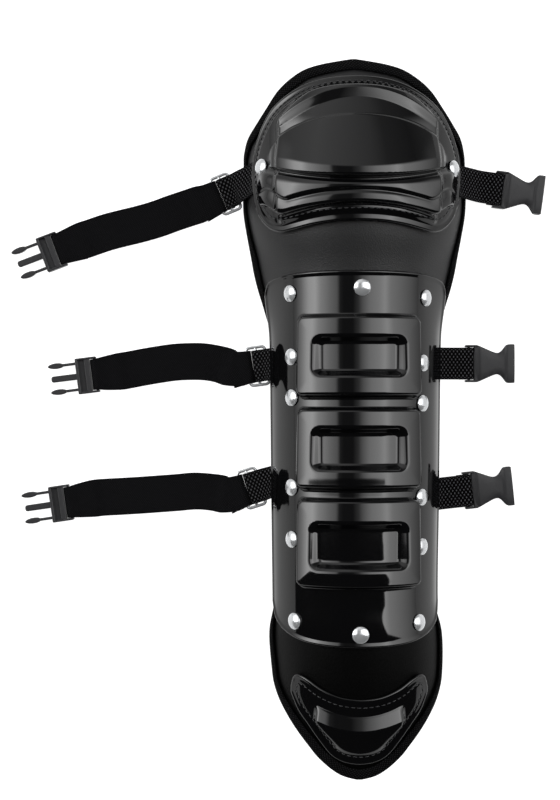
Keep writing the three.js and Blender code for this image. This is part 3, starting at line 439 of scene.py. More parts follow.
def closed_sheet(high, low):
    """Two grids joined by a strip round their borders: the high one faces out and the low one in."""
    rows, columns = high.shape[:2]
    count = rows * columns
    index = np.arange(count).reshape(rows, columns)
    border = np.concatenate([index[0, :-1], index[:-1, -1], index[-1, :0:-1], index[:0:-1, 0]])
    ahead = np.roll(border, -1)
    wall = np.stack([border, ahead, ahead + count, border + count], axis=-1)
    faces = np.concatenate([grid_quads(rows, columns), grid_quads(rows, columns, count)[:, ::-1], wall])
    return np.concatenate([high.reshape(-1, 3), low.reshape(-1, 3)]), faces


def edge_lines(count, inset):
    """Shares from -1 to 1, evenly spaced, with extra lines close to both ends for a rounded rim."""
    close = np.array([0, 0.12, 0.4, 0.85, 1.6, 2.6]) * inset
    inner = np.linspace(-1 + 3.6 * inset, 1 - 3.6 * inset, count)
    return np.concatenate([-1 + close, inner, (1 - close)[::-1]])


# A middling radius of the leg, only for how close the outermost lines lie to the sides
SPAN_RADIUS = 65.0
# How far inside the rim the crest of its bead is, and how wide the bead is
BEAD_IN, BEAD_WIDE = 1.4, 1.1


def form_sheet(name, patch, counts, low, high, relief, material, bead=0.0):
    """A sheet on the form between two lifts plus a relief. Near the rim its half thickness follows a half
    circle, so the rim is round, and a bead may swell it."""
    half, middle = (high - low) / 2, (high + low) / 2
    length = (patch.last - patch.first) * GUARD_LENGTH
    span = np.radians(patch.sides[0, 1]) * SPAN_RADIUS
    across = edge_lines(counts[0], half / span)[None, :]
    share = edge_lines(counts[1], 2 * half / length)[:, None] / 2 + 0.5
    station = patch.first + share * (patch.last - patch.first)
    at, turn = patch.place(across * np.ones_like(station), station * np.ones_like(across))
    flat = laid_flat(at, turn)
    inside = distance_to_line(flat.reshape(-1, 2), patch.rim()).reshape(at.shape)
    swell = half * np.sqrt(np.clip(1 - (1 - np.minimum(inside / half, 1)) ** 2, 0.01, 1))
    raised = middle + relief(at, turn, inside) + bead * np.exp(-(((inside - BEAD_IN) / BEAD_WIDE) ** 2))
    points, faces = closed_sheet(on_form(at, turn, raised + swell), on_form(at, turn, raised - swell))
    uv = np.concatenate([flat.reshape(-1, 2), flat.reshape(-1, 2)])
    print(name, "has", len(faces), "faces")
    return make_piece(name, points, faces, material, uv)


# %% [markdown]
# ## Finishes of the body
# The shells are thermoformed black plastic: a hard clear gloss with almost no colour of its own, so all
# that the eye gets is what it mirrors. The front panel is black leather-like cloth with a fine pressed
# grain and a low sheen, and it lies in the tent's dark toward the ankle; its colour and sheen are painted
# darker toward the ankle as painted shade. The rim tape is a coarse matt weave, and the lining behind is a
# knitted mesh. The weaves' thread crowns are painted lighter and their gaps darker, as painted highlight
# and painted shade. Photographs of such stuff could be wrapped round the pieces, but patterns worked out
# in millimetres stay sharp at any distance.

# %% Gloss plastic of the shells
gloss_plastic, gloss_shader = start_material(
    "moulded_gloss_plastic", Base_Color=linear("070708"), Roughness=0.055, IOR=1.58
)
orange_peel = add_node(
    gloss_plastic,
    "ShaderNodeTexNoise",
    {"Scale": 55.0, "Detail": 1.0},
    {"Vector": object_place(gloss_plastic)},
)
bump_by(gloss_plastic, gloss_shader, orange_peel.outputs["Fac"], 0.06, 0.8 * MM)

# %% Leather-like cloth of the front panel
# Painted shade: the cloth's colour goes from 030303 at the ankle to 19191A toward the knee, and its specular
# level from 0.08 to 0.5, because the ankle flap faces the tent's dark.
ANKLE_PAINTED_SHADE_FROM, ANKLE_PAINTED_SHADE_TO = -0.120, -0.160
panel_cloth, panel_shader = start_material(
    "black_leather_cloth", Base_Color=linear("1C1C1D"), Roughness=0.5, IOR=1.5
)
panel_place = object_place(panel_cloth)
pebble = add_node(panel_cloth, "ShaderNodeTexVoronoi", {"Scale": 900.0}, {"Vector": panel_place})
panel_axes = add_node(panel_cloth, "ShaderNodeSeparateXYZ", links={"Vector": panel_place})
painted_ankle_shade_fade = soft_step(panel_cloth, panel_axes.outputs["Y"], ANKLE_PAINTED_SHADE_TO, ANKLE_PAINTED_SHADE_FROM)
join_nodes(
    panel_cloth, blend(panel_cloth, painted_ankle_shade_fade, "030303", "19191A"), panel_shader.inputs["Base Color"]
)
# The sheen is lowered toward the ankle as painted shade; toward the knee it is the cloth's own low sheen.
panel_sheen_with_painted_shade = math_node(panel_cloth, "MULTIPLY_ADD", painted_ankle_shade_fade, 0.42, 0.08)
join_nodes(panel_cloth, panel_sheen_with_painted_shade, panel_shader.inputs["Specular IOR Level"])
bump_by(panel_cloth, panel_shader, pebble.outputs["Distance"], 0.35, 0.3 * MM)


# %% Woven tape, webbing and elastic
def woven_material(name, dark, light, warp_mm, weft_mm, depth_mm):
    """A plain weave on the piece's flat map: two sets of waves, one along and one across, whose product
    gives the crowns of the threads. The crowns get the light colour as a painted highlight and the gaps
    the dark one as painted shade, and the crowns also drive the bump. The pitches are the real thread
    spacings. Soft yarn mirrors little."""
    material, shader = start_material(name, Roughness=0.95, IOR=1.4, Specular_IOR_Level=0.08)
    place = add_node(material, "ShaderNodeUVMap", uv_map="flat")
    apart = add_node(material, "ShaderNodeSeparateXYZ", links={"Vector": place.outputs[0]})
    waves = []
    for socket, pitch in (("X", warp_mm), ("Y", weft_mm)):
        turns = math_node(material, "MULTIPLY", apart.outputs[socket], 2 * math.pi / (pitch * MM))
        waves.append(math_node(material, "SINE", turns))
    product = math_node(material, "MULTIPLY", *waves)
    crowns = add_node(material, "ShaderNodeMapRange", {"From Min": 0.1, "From Max": 1.0}, {"Value": product})
    # Painted highlight on the thread crowns and painted shade in the gaps between them.
    join_nodes(material, blend(material, crowns.outputs[0], dark, light), shader.inputs["Base Color"])
    bump_by(material, shader, crowns.outputs[0], 0.8, depth_mm * MM)
    return material


# Each pair is the painted shade of the gaps, then the painted highlight of the crowns.
rim_tape_weave = woven_material("woven_rim_tape", "020202", "2A2A2C", 2.6, 2.3, 0.5)
webbing_weave = woven_material("coarse_webbing", "010101", "58585B", 2.9, 2.5, 0.5)
elastic_weave = woven_material("fine_elastic_weave", "0C0C0D", "222225", 1.5, 1.3, 0.25)
lining_mesh, lining_shader = start_material("knitted_lining", Base_Color=linear("161617"), Roughness=0.9)
lining_cells = add_node(
    lining_mesh, "ShaderNodeTexVoronoi", {"Scale": 450.0}, {"Vector": object_place(lining_mesh)}
)
bump_by(lining_mesh, lining_shader, lining_cells.outputs["Distance"], 0.7, 0.5 * MM)

# %% [markdown]
# ## Front panel
# One skin of leather-like cloth covers the foam from rim to rim. It shows between the caps and on the
# ankle flap. A cloth simulation could drape it, but it is glued flat to the foam, so it is a patch of the
# form with the pad's own outline, and it lies a hair over the foam.

# %% Front panel
PAD_PATCH = Patch(
    sides=[(0, 83), (0.1215, 83), (0.15, 90), (0.84, 90), (0.855, 87), (1, 87)],
    top=[
        (0, 0), (0.12, 0.0035), (0.24, 0.0078), (0.337, 0.0135), (0.42, 0.0225), (0.494, 0.0325),
        (0.554, 0.0427), (0.65, 0.0634), (0.765, 0.083), (0.904, 0.101), (1, 0.1215),
    ],
    bottom=[
        (0, 1), (0.132, 0.995), (0.22, 0.987), (0.305, 0.9765), (0.379, 0.966), (0.448, 0.954),
        (0.58, 0.9335), (0.713, 0.914), (0.862, 0.892), (0.966, 0.871), (1, 0.855),
    ],
    top_hold=0.32,
    bottom_hold=0.62,
)
PANEL_LOW, PANEL_HIGH = 0.3, 1.5
front_panel = form_sheet(
    "front_panel_cloth",
    PAD_PATCH,
    (90, 240),
    PANEL_LOW,
    PANEL_HIGH,
    lambda at, turn, inside: 0.0 * at,
    panel_cloth,
)
stand_for(front_panel, "panel_leather", "front_panel")

# %% [markdown]
# ## Knee cap
# The cap has a crescent ridge near its top, an eye-shaped bulge that rolls over at its lower edge, two
# ribs with turned-up ends and a flat stitched flange. It could be sculpted. But what the eye reads on
# black gloss is where the mirrored lamps start and stop, which a slope decides. So each feature lies
# between two curves across the cap, and the height goes up and down between them by set amounts.

# %% Knee cap
KNEE_PATCH = Patch(
    sides=[(0, 60.5), (0.15, 60.5), (0.2, 57.5), (0.3, 57.5)],
    top=[
        (0, 0.0245), (0.2, 0.0265), (0.4, 0.0345), (0.6, 0.051),
        (0.75, 0.071), (0.88, 0.1), (0.96, 0.127), (1, 0.155),
    ],
    bottom=[
        (0, 0.2275), (0.2, 0.2285), (0.4, 0.232), (0.6, 0.237),
        (0.75, 0.239), (0.88, 0.232), (0.96, 0.216), (1, 0.19),
    ],
    top_hold=0.228,
    bottom_hold=0.06,
)
# How far the shells' two faces lie over the form
SHELL_LOW, SHELL_HIGH = 4.4, 6.8


def staircase(y, edges, heights):
    """A height that is level outside and goes from each height to the next between neighbouring edges. The
    edges may bend, and each stretch is at least a millimetre wide."""
    height = heights[0] + 0 * y
    for low, high, step in zip(edges, edges[1:], np.diff(heights)):
        height = height + step * np.clip((y - low) / np.maximum(high - low, 1.0), 0, 1)
    return height


KNEE_CURVES = {
    # name: mm down the guard at the middle, then the bow in mm that it has at a distance from the middle,
    # that distance, and the power by which the bow grows
    "ridge_from": (17.3, 29, 55, 2.4),
    "strip_top": (23.8, 19, 50, 2.2),
    "strip_low": (31, 19.5, 52, 1.9),
    "band_top": (82.5, -10, 60, 2),
    "band_low": (90, -9.5, 58, 2.6),
    "crease": (93.5, -7, 50, 2),
    "ledge": (99.7, 6.5, 48, 2),
    "last_ledge": (109.4, 7, 50, 2),
}
EYE_LOW, EYE_HIGH, EYE_HALF, DOME_HALF = 70, 25.4, 61.5, 65
RIB_TURN_UP = 15


def knee_curve(name, x):
    """How far down the guard a curve lies at a distance from the middle: its middle plus its bow."""
    middle, bow, reach, power = KNEE_CURVES[name]
    return middle + bow * (x / reach) ** power


def knee_ridge(x, y):
    """The crescent: a steep climb, a gentle one to the strip, and the strip that falls to the dome."""
    ridge_from, strip_top, strip_low = (knee_curve(n, x) for n in ("ridge_from", "strip_top", "strip_low"))
    ridge = staircase(y, [ridge_from - 3, ridge_from + 0.6, strip_top, strip_low], [0, 3.6, 4.6, 1.6])
    ridge = ridge + 1.2 * (x / 52) ** 2 * smooth_step(y, strip_top, strip_low)
    return ridge * (1 - smooth_step(x, 53, 57))


def knee_eye(x, y):
    """The bulge: a small step at its upper edge, a long climb, and a roll over to the crease below it."""
    eye_top = EYE_LOW - EYE_HIGH * np.maximum(0, 1 - (x / EYE_HALF) ** 2.2) ** 0.6
    band_top, band_low, crease = (knee_curve(n, x) for n in ("band_top", "band_low", "crease"))
    roll = np.clip((y - band_top) / (band_low - band_top), 0, 1)
    dome = np.maximum(0, 1 - (x / DOME_HALF) ** 3)
    edge = np.clip((y - eye_top + 0.8) / 1.4, 0, 1)
    climb = np.clip((y - eye_top - 0.6) / np.maximum(band_top - eye_top - 0.6, 1), 0, 1)
    eye = edge + dome * (6.0 * climb + 1.5 * roll - 1.9 * roll**2)
    return eye * (1 - smooth_step(y, band_low - 0.5, crease - 0.5)) * (1 - smooth_step(x, 58, 64))


def knee_ledges(x):
    """The lower edges of the two ribs: their curves, turned up at the sides."""
    ledge = knee_curve("ledge", x) - RIB_TURN_UP * smooth_step(x, 46, 64)
    return ledge, knee_curve("last_ledge", x) - RIB_TURN_UP * smooth_step(x, 49, 69)


def knee_ribs(x, y):
    """Two ribs: steps up and down between the crease and the ledges, each with a swell over its back."""
    crease = knee_curve("crease", x)
    ledge, last_ledge = knee_ledges(x)
    swell = np.clip((y - crease) / np.maximum(ledge - crease, 1), 0, 1)
    last_swell = np.clip((y - ledge) / np.maximum(last_ledge - ledge, 1), 0, 1)
    edges = [crease - 2, crease + 2, ledge - 1, ledge + 0.6, last_ledge - 1, last_ledge + 0.8]
    ribs = staircase(y, edges, [0, 3.0, 3.6, 2.0, 2.4, 0])
    ribs = ribs + 1.2 * np.sin(np.pi * swell) + 0.8 * np.sin(np.pi * last_swell)
    return ribs * (1 - smooth_step(x, 62, 72))


def knee_relief(at, turn, inside):
    """Height in mm over the plain cap: ridge, eye and ribs, which stop at the flange, and a raised base."""
    x = np.abs(on_form(at, turn, SHELL_LOW)[..., 0] - AXIS_X)
    y = at * GUARD_LENGTH
    last_ledge = knee_ledges(x)[1]
    shape = knee_ridge(x, y) + knee_eye(x, y) + knee_ribs(x, y)
    base = 1.8 * smooth_step(inside, 6.0, 9.0) * (1 - smooth_step(y, last_ledge - 1.2, last_ledge + 1))
    groove = 0.2 * np.exp(-(((inside - 4.6) / 0.9) ** 2))
    return shape * smooth_step(inside, 5.0, 9) + base - groove


knee_cap = form_sheet(
    "knee_cap_gloss",
    KNEE_PATCH,
    (190, 150),
    SHELL_LOW,
    SHELL_HIGH,
    knee_relief,
    gloss_plastic,
    bead=0.5,
)
stand_for(knee_cap, "gloss_shell", "knee_cap_shell")

# %% [markdown]
# ## Shin shell
# The shell carries three raised pads, and each pad has a sunk window. They could be extruded and rounded
# with bevels, which pinch on a curved shell. So a pad is a rounded rectangle laid on the form: how far a
# place is inside its outline, worked out in closed form, drives a smooth slope up, and the window's
# outline drives a slope down again.

# %% Shin shell
SHIN_PATCH = Patch(
    sides=[(0, 76), (1, 76)],
    top=[(0, 0.2925), (0.4, 0.293), (0.7, 0.296), (0.86, 0.3), (0.95, 0.307), (1, 0.322)],
    bottom=[(0, 0.8075), (0.3, 0.806), (0.55, 0.801), (0.75, 0.791), (0.9, 0.776), (1, 0.752)],
    top_hold=0.352,
    bottom_hold=0.725,
)
SHIN_RELIEF = 6.2
SHIN_PADS = [
    # pad from, pad to, window from, window to (shares of the length), window half width (mm round the leg)
    (0.3515, 0.467, 0.3795, 0.4395, 34.4),
    (0.4785, 0.593, 0.504, 0.568, 34.8),
    (0.6025, 0.7275, 0.6345, 0.7025, 36.0),
]
# Half width and sideways shift of the pads, corner radii, and how far in each wall's slope goes
PAD_HALF, PAD_SHIFT, PAD_CORNER, WINDOW_CORNER = 48.6, 1.0, 7, 8
PAD_WALL, WINDOW_WALL = 3.2, 7.0
# Where the shell's top end starts to dip under the flaring form, and how much of the flare it leaves out
TOP_LEVEL_AT, TOP_DIP = 0.345, 0.85


def inside_rounded(flat_x, flat_y, half_x, y_from, y_to, corner):
    """How far inside a rounded rectangle a flat place is: negative outside, in mm."""
    half_y, middle = (y_to - y_from) / 2, (y_to + y_from) / 2
    gap_x = np.abs(flat_x) - (half_x - corner)
    gap_y = np.abs(flat_y - middle) - (half_y - corner)
    outside = np.hypot(np.maximum(gap_x, 0), np.maximum(gap_y, 0))
    return corner - outside - np.minimum(np.maximum(gap_x, gap_y), 0)


def shin_top_dip(at):
    """How far the shell's top end lies under the flaring form, in mm, which keeps its crest nearly level."""
    crest = (form_radius(at) - form_sink(at)) * KNEE_RADIUS
    level = (form_radius(TOP_LEVEL_AT) - form_sink(TOP_LEVEL_AT)) * KNEE_RADIUS
    return np.where(at < TOP_LEVEL_AT, -TOP_DIP * (crest - level), 0.0)


def shin_relief(at, turn, inside):
    """Height in mm over the plain shell: each pad goes up in a steep wall and is a wedge, higher toward the
    ankle, and its window goes down again."""
    flat_x = np.radians(turn) * (form_radius(at) * KNEE_RADIUS + SHELL_HIGH) - PAD_SHIFT
    flat_y = at * GUARD_LENGTH
    height = shin_top_dip(at)
    for pad_from, pad_to, window_from, window_to, window_half in SHIN_PADS:
        pad_ends = pad_from * GUARD_LENGTH, pad_to * GUARD_LENGTH
        window_ends = window_from * GUARD_LENGTH, window_to * GUARD_LENGTH
        pad = inside_rounded(flat_x, flat_y, PAD_HALF, *pad_ends, PAD_CORNER)
        window = inside_rounded(flat_x, flat_y, window_half, *window_ends, WINDOW_CORNER)
        raised = 0.94 * smooth_step(pad, 0, PAD_WALL) + 0.06 * smooth_step(pad, 0, 2 * PAD_CORNER)
        wedge = 0.84 + 0.32 * (flat_y - pad_ends[0]) / (pad_ends[1] - pad_ends[0])
        sunk = smooth_step(window, 0, WINDOW_WALL)
        height = height + SHIN_RELIEF * (raised * wedge * (1 - sunk) + 0.05 * sunk)
    return height


shin_shell = form_sheet(
    "shin_shell_gloss",
    SHIN_PATCH,
    (150, 270),
    SHELL_LOW,
    SHELL_HIGH,
    shin_relief,
    gloss_plastic,
    bead=0.9,
)
stand_for(shin_shell, "gloss_shell", "shin_shell")

# %% [markdown]
# ## Ankle cap
# A small cap sewn to the ankle flap. Its bump starts under a smile-shaped edge and fades toward the tip.
# It is made in the way of the knee cap, for the same reason.

# %% Ankle cap
ANKLE_PATCH = Patch(
    sides=[(0, 52), (1, 52)],
    top=[(0, 0.881), (0.25, 0.878), (0.5, 0.868), (0.72, 0.855), (0.87, 0.851), (0.96, 0.856), (1, 0.87)],
    bottom=[(0, 0.979), (0.2, 0.9755), (0.36, 0.966), (0.52, 0.946), (0.7, 0.922), (0.86, 0.903), (1, 0.878)],
    top_hold=0.979,
    bottom_hold=0.881,
)
ANKLE_LOW, ANKLE_HIGH = 2.2, 4.6
# The smile-shaped edge: sideways shift, distance down the guard, rise at its sides and half width
SMILE_SHIFT, SMILE_DOWN, SMILE_BOW, SMILE_HALF = 2, 485.5, 9.5, 34


def ankle_relief(at, turn, inside):
    """Height in mm: a small step at a smile-shaped edge, a strip that climbs until it lies level, and a long
    fall to the tip."""
    x = on_form(at, turn, ANKLE_LOW)[..., 0] - AXIS_X - SMILE_SHIFT
    below = at * GUARD_LENGTH - (SMILE_DOWN - SMILE_BOW * (x / SMILE_HALF) ** 2)
    climb = 0.6 * smooth_step(below, -1.0, 0.6) + 4.7 * np.clip(below / 10, 0, 1)
    fall = 1 - smooth_step(below, 9, 36)
    side = 1 - smooth_step(np.abs(x), 28, 33)
    groove = 0.15 * np.exp(-(((inside - 6.5) / 0.9) ** 2))
    return climb * fall * side * smooth_step(inside, 6.5, 10) - groove


ankle_cap = form_sheet(
    "ankle_cap_gloss",
    ANKLE_PATCH,
    (110, 80),
    ANKLE_LOW,
    ANKLE_HIGH,
    ankle_relief,
    gloss_plastic,
    bead=0.3,
)
stand_for(ankle_cap, "gloss_shell", "ankle_cap_shell")

# %% [markdown]
# ## Stitches
# The knee cap and the ankle cap are sewn through a flat flange. Each stitch is a small spindle of thread
# that lies on the shell. One stitch could be copied along a curve, but a whole row is a single array here:
# even places along the outline, moved inward. The thread is waxed, so it catches a little more light than
# cloth does.

# %% Helpers for lines
def lengths_along(line):
    """The length from the line's first point to each of its points."""
    return np.concatenate([[0], np.cumsum(np.linalg.norm(np.diff(line, axis=0), axis=1))])


def on_line(line, lengths, distance):
    """Points of a line at distances along it, on straight stretches between its points."""
    return np.stack([np.interp(distance, lengths, column) for column in line.T], axis=-1)


def resample(line, count):
    """A closed line cut into even steps by its own length. Returns it with that length."""
    closed = np.vstack([line, line[:1]])
    lengths = lengths_along(closed)
    steps = np.linspace(0, lengths[-1], count, endpoint=False)
    return on_line(closed, lengths, steps), lengths[-1]


def inward_of(line):
    """The unit directions along a closed flat line and into it."""
    run = np.roll(line, -1, axis=0) - np.roll(line, 1, axis=0)
    run /= np.linalg.norm(run, axis=1)[:, None]
    return run, np.stack([-run[:, 1], run[:, 0]], axis=-1)


def tube_faces(rings, sides, closed=True):
    """Quads between neighbouring rings of points, each ring closed on itself."""
    index = np.arange(rings * sides).reshape(rings, sides)
    ahead = np.roll(index, -1, axis=0) if closed else index[1:]
    here = index if closed else index[:-1]
    corners = [here, np.roll(here, -1, axis=1), np.roll(ahead, -1, axis=1), ahead]
    return np.stack(corners, axis=-1).reshape(-1, 4)


def full_circle(sides):
    """Even angles once round, in radians."""
    return np.linspace(0, 2 * np.pi, sides, endpoint=False)


def raised_flat(flat):
    """The place along the guard and the turn round it of a place laid flat."""
    at = flat[..., 1] / GUARD_LENGTH
    return at, np.degrees(flat[..., 0] / (form_radius(at) * KNEE_RADIUS))


# %% Stitches
waxed_thread, _ = start_material(
    "waxed_black_thread", Base_Color=linear("2E2E30"), Roughness=0.4, IOR=1.5
)
# Spacing, length and thickness of the stitches, how far they stand up, and their rings and ring corners
STITCH_PITCH, STITCH_LENGTH, THREAD, THREAD_UP = 4.2, 3.0, 0.85, 0.15
STITCH_RINGS, STITCH_SIDES = 6, 6


def stitch_row(name, patch, inset, relief, high):
    """Spindles along the outline: rings whose radius follows a half circle, set down on the shell's face."""
    line, _ = resample(patch.rim(), 600)
    sewn = line + inward_of(line)[1] * inset(line)[:, None]
    total = resample(sewn, 10)[1]
    centre, _ = resample(sewn, int(total / STITCH_PITCH))
    run, side = inward_of(centre)
    share = np.linspace(-1, 1, STITCH_RINGS)
    radius = THREAD / 2 * np.sqrt(np.maximum(1 - share**2, 0.02))
    angle = full_circle(STITCH_SIDES)
    flat = centre[:, None, None] + run[:, None, None] * (share * STITCH_LENGTH / 2)[None, :, None, None]
    flat = flat + side[:, None, None] * (radius[:, None] * np.cos(angle))[None, :, :, None]
    at, turn = raised_flat(flat)
    inside = inset(flat.reshape(-1, 2)).reshape(at.shape)
    up = (radius[:, None] * np.sin(angle))[None] + THREAD_UP
    points = on_form(at, turn, high + relief(at, turn, inside) + up)
    first_end = np.array([[0, 1, 2, 3], [0, 3, 4, 5]])
    last_end = first_end[:, ::-1] + STITCH_SIDES * (STITCH_RINGS - 1)
    sides = tube_faces(STITCH_RINGS, STITCH_SIDES, closed=False)[:, ::-1]
    one = np.concatenate([sides, first_end, last_end])
    firsts = np.arange(len(centre)) * STITCH_RINGS * STITCH_SIDES
    faces = (one[None] + firsts[:, None, None]).reshape(-1, 4)
    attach(make_piece(name, points.reshape(-1, 3), faces, waxed_thread), "root")
    print(name, "has", len(centre), "stitches")


def knee_inset(line):
    """How far in the knee cap is sewn, in mm: further at its lower edge, where the flange is wider."""
    return 4.3 + 4.5 * smooth_step(line[:, 1], 106, 114)


def ankle_inset(line):
    """How far in the ankle cap is sewn, in mm: the same all round."""
    return np.full(len(line), 6.5)


stitch_row("knee_stitches", KNEE_PATCH, knee_inset, knee_relief, SHELL_HIGH)
stitch_row("ankle_stitches", ANKLE_PATCH, ankle_inset, ankle_relief, ANKLE_HIGH)

# %% [markdown]
# ## Rim tape
# A woven tape is folded over the pad's rim and sewn down. A curve with a bevel profile could make it, but
# would twist where the rim bends. So its cross-section, a rounded hook, is carried along the rim as a
# closed ring that stays square to the pad. Where the pad rests on the table the tape is pressed flat.

# %% Rim tape
# CLOTH_GAP and BACK_GAP are the room that the cloth leaves beside the foam and behind it
TAPE_WIDTH, TAPE_THICKNESS, CLOTH_GAP, BACK_GAP = 7.0, 1.2, 0.7, 1.5
TAPE_LOW, TAPE_BEND = PANEL_HIGH + 1.3 * CLOTH_GAP, 2.2


def offset_open(line, distance):
    """An open flat line moved sideways by a distance, along the normal of its neighbours' chord."""
    run = np.gradient(line, axis=0)
    run /= np.linalg.norm(run, axis=1)[:, None]
    return line + distance * np.stack([-run[:, 1], run[:, 0]], axis=-1)


def hook_section():
    """The tape's cross-section as (inset, lift): a middle line over the rim and under it, thickened."""
    front, back = TAPE_LOW + TAPE_THICKNESS / 2, -PAD_RIM - BACK_GAP - TAPE_THICKNESS / 2
    out = -CLOTH_GAP - TAPE_THICKNESS / 2
    turn, bend = np.linspace(0, np.pi / 2, 5), TAPE_BEND
    top = np.stack([out + bend - bend * np.sin(turn), front - bend + bend * np.cos(turn)], axis=-1)
    low = np.stack([out + bend - bend * np.cos(turn), back + bend - bend * np.sin(turn)], axis=-1)
    start = [(TAPE_WIDTH, front), (TAPE_WIDTH * 0.5, front)]
    end = [(TAPE_WIDTH * 0.5, back), (TAPE_WIDTH, back)]
    middle = np.vstack([start, top, low, end])
    half = TAPE_THICKNESS / 2
    return np.vstack([offset_open(middle, -half), offset_open(middle, half)[::-1]])


def ring_on_form(rim, section):
    """A section carried round a flat rim: inset points move inward, then all go up onto the form."""
    inward = inward_of(rim)[1]
    at, turn = raised_flat(rim[:, None, :] + inward[:, None, :] * section[None, :, 0, None])
    points = on_form(at, turn, np.broadcast_to(section[None, :, 1], at.shape))
    points[..., 2] = np.maximum(points[..., 2], 0)
    return points


rim_line, rim_length = resample(PAD_PATCH.rim(), 420)
tape_section = hook_section()
tape_points = ring_on_form(rim_line, tape_section)
along_rim = np.linspace(0, rim_length, len(rim_line))[:, None]
tape_uv = np.stack(np.broadcast_arrays(along_rim, lengths_along(tape_section)[None, :]), axis=-1)
rim_tape = make_piece(
    "rim_tape",
    tape_points.reshape(-1, 3),
    tube_faces(len(rim_line), len(tape_section))[:, ::-1],
    rim_tape_weave,
    tape_uv.reshape(-1, 2),
)
stand_for(rim_tape, "binding_tape", "edge_binding")
print("rim tape length in mm:", round(rim_length))

# %% [markdown]
# ## Rivets
# Domed steel rivets, plated and bright, hold the shells and the webbing. One rivet could be copied as an
# object of its own. As they all belong to one finish, the same turned profile is placed on its shell and
# tipped to the shell's normal sixteen times in one mesh. Plated steel mirrors sharply with a grey tint.

# %% Rivets
plated_steel, _ = start_material(
    "bright_plated_steel", Base_Color=linear("E6E8EA"), Metallic=0.7, Roughness=0.2
)
RIVET_DIAMETER, RIVET_HEIGHT, GAP = 12.4, 2.6, 0.3
# Corners of a ring, how far in the knee cap's rivets sit, and the place down to which they are its own
RIVET_SIDES, RIVET_INSET, KNEE_TO = 32, 9.0, 0.25
RIVETS = np.array([
    # turn, at
    (-50, 0.147), (50.5, 0.149),
    (-47.8, 0.322), (2.3, 0.3165), (50, 0.328),
    (-47, 0.4095), (47.5, 0.418), (-46.8, 0.466), (47, 0.4737),
    (-47.5, 0.59), (46.8, 0.6035), (-47.6, 0.662), (47.8, 0.672),
    (-46, 0.775), (0.8, 0.7885), (44.5, 0.7765),
])


def outward_at(at, turn, lift):
    """The form's outward direction, from small steps along and round it."""
    along = on_form(at - 0.004, turn, lift) - on_form(at + 0.004, turn, lift)
    around = on_form(at, turn + 1, lift) - on_form(at, turn - 1, lift)
    normal = np.cross(around, along)
    return normal / np.linalg.norm(normal, axis=-1, keepdims=True)


def all_rivets():
    """One turned profile repeated: rings of a dome, each ring a circle in the shell's tangent plane."""
    radius = RIVET_DIAMETER / 2
    swing = np.linspace(1, 0, 9)
    out = np.concatenate([[0.0, 0.94, 1.0, 1.0], swing * 0.97]) * radius
    up = np.concatenate([[0.0, 0.0, 0.1, 0.28], 1.0 - 0.62 * swing**2.4]) * RIVET_HEIGHT
    angle = full_circle(RIVET_SIDES)
    points, faces = [], []
    for turn, at in RIVETS:
        if at < KNEE_TO:
            shell = knee_relief(np.array(at), np.array(turn), np.array(RIVET_INSET))
        else:
            shell = shin_top_dip(at)
        normal = outward_at(at, turn, SHELL_HIGH)
        centre = on_form(at, turn, SHELL_HIGH + shell) + GAP * normal
        side = np.cross([0.0, 1.0, 0.0], normal)
        side /= np.linalg.norm(side)
        front = np.cross(normal, side)
        circle = np.cos(angle)[:, None] * side + np.sin(angle)[:, None] * front
        rings = centre + out[:, None, None] * circle[None] + up[:, None, None] * normal
        first = len(points) * len(out) * RIVET_SIDES
        points.append(rings.reshape(-1, 3))
        faces.append(tube_faces(len(out), RIVET_SIDES, closed=False) + first)
    return np.concatenate(points), np.concatenate(faces)


rivet_points, rivet_faces = all_rivets()
rivets = make_piece("dome_rivets", rivet_points, rivet_faces, plated_steel)
stand_for(rivets, "rivet_chrome", *[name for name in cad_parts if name.startswith("rivet_")])
print("rivets:", len(RIVETS))

# %% [markdown]
# ## Webbing tabs
# Short pieces of coarse webbing lie under the shells, leave their rims and come down to the table, where
# each loops round a bar: a slider's on the left, a socket's on the right. Cloth simulation would drop
# them at random. Webbing is stiff and keeps its width, so a band follows a few chosen lines instead.

# %% Webbing tabs
WEBBING_WIDTH, WEBBING_THICKNESS = 24.5, 1.5
ELASTIC_WIDTH, ELASTIC_THICKNESS = 28.5, 1.8
WIRE_DIAMETER, SLIDER_LENGTH, SLIDER_WIDTH = 2.4, 17.0, 31.5
BUCKLE_THICKNESS, BUCKLE_BAR = 8.0, 3.0
TAB_LOW, TAB_HIGH = PANEL_HIGH + CLOTH_GAP, PANEL_HIGH + CLOTH_GAP + WEBBING_THICKNESS
SLIDER_LOOP = WIRE_DIAMETER / 2 + GAP + WEBBING_THICKNESS / 2
STRAP_LOOP = WIRE_DIAMETER / 2 + GAP + ELASTIC_THICKNESS / 2
SLIDER_HEIGHT = STRAP_LOOP + ELASTIC_THICKNESS / 2
BUCKLE_LOOP = BUCKLE_BAR / 2 + GAP + WEBBING_THICKNESS / 2
MALE_LOOP = BUCKLE_BAR / 2 + GAP + ELASTIC_THICKNESS / 2
BUCKLE_HEIGHT = BUCKLE_THICKNESS / 2
SLIDER_TAIL, SLIDER_SLACK, SOCKET_TAIL, SOCKET_SLACK = 3.0, 0.5, 7.0, 0.4
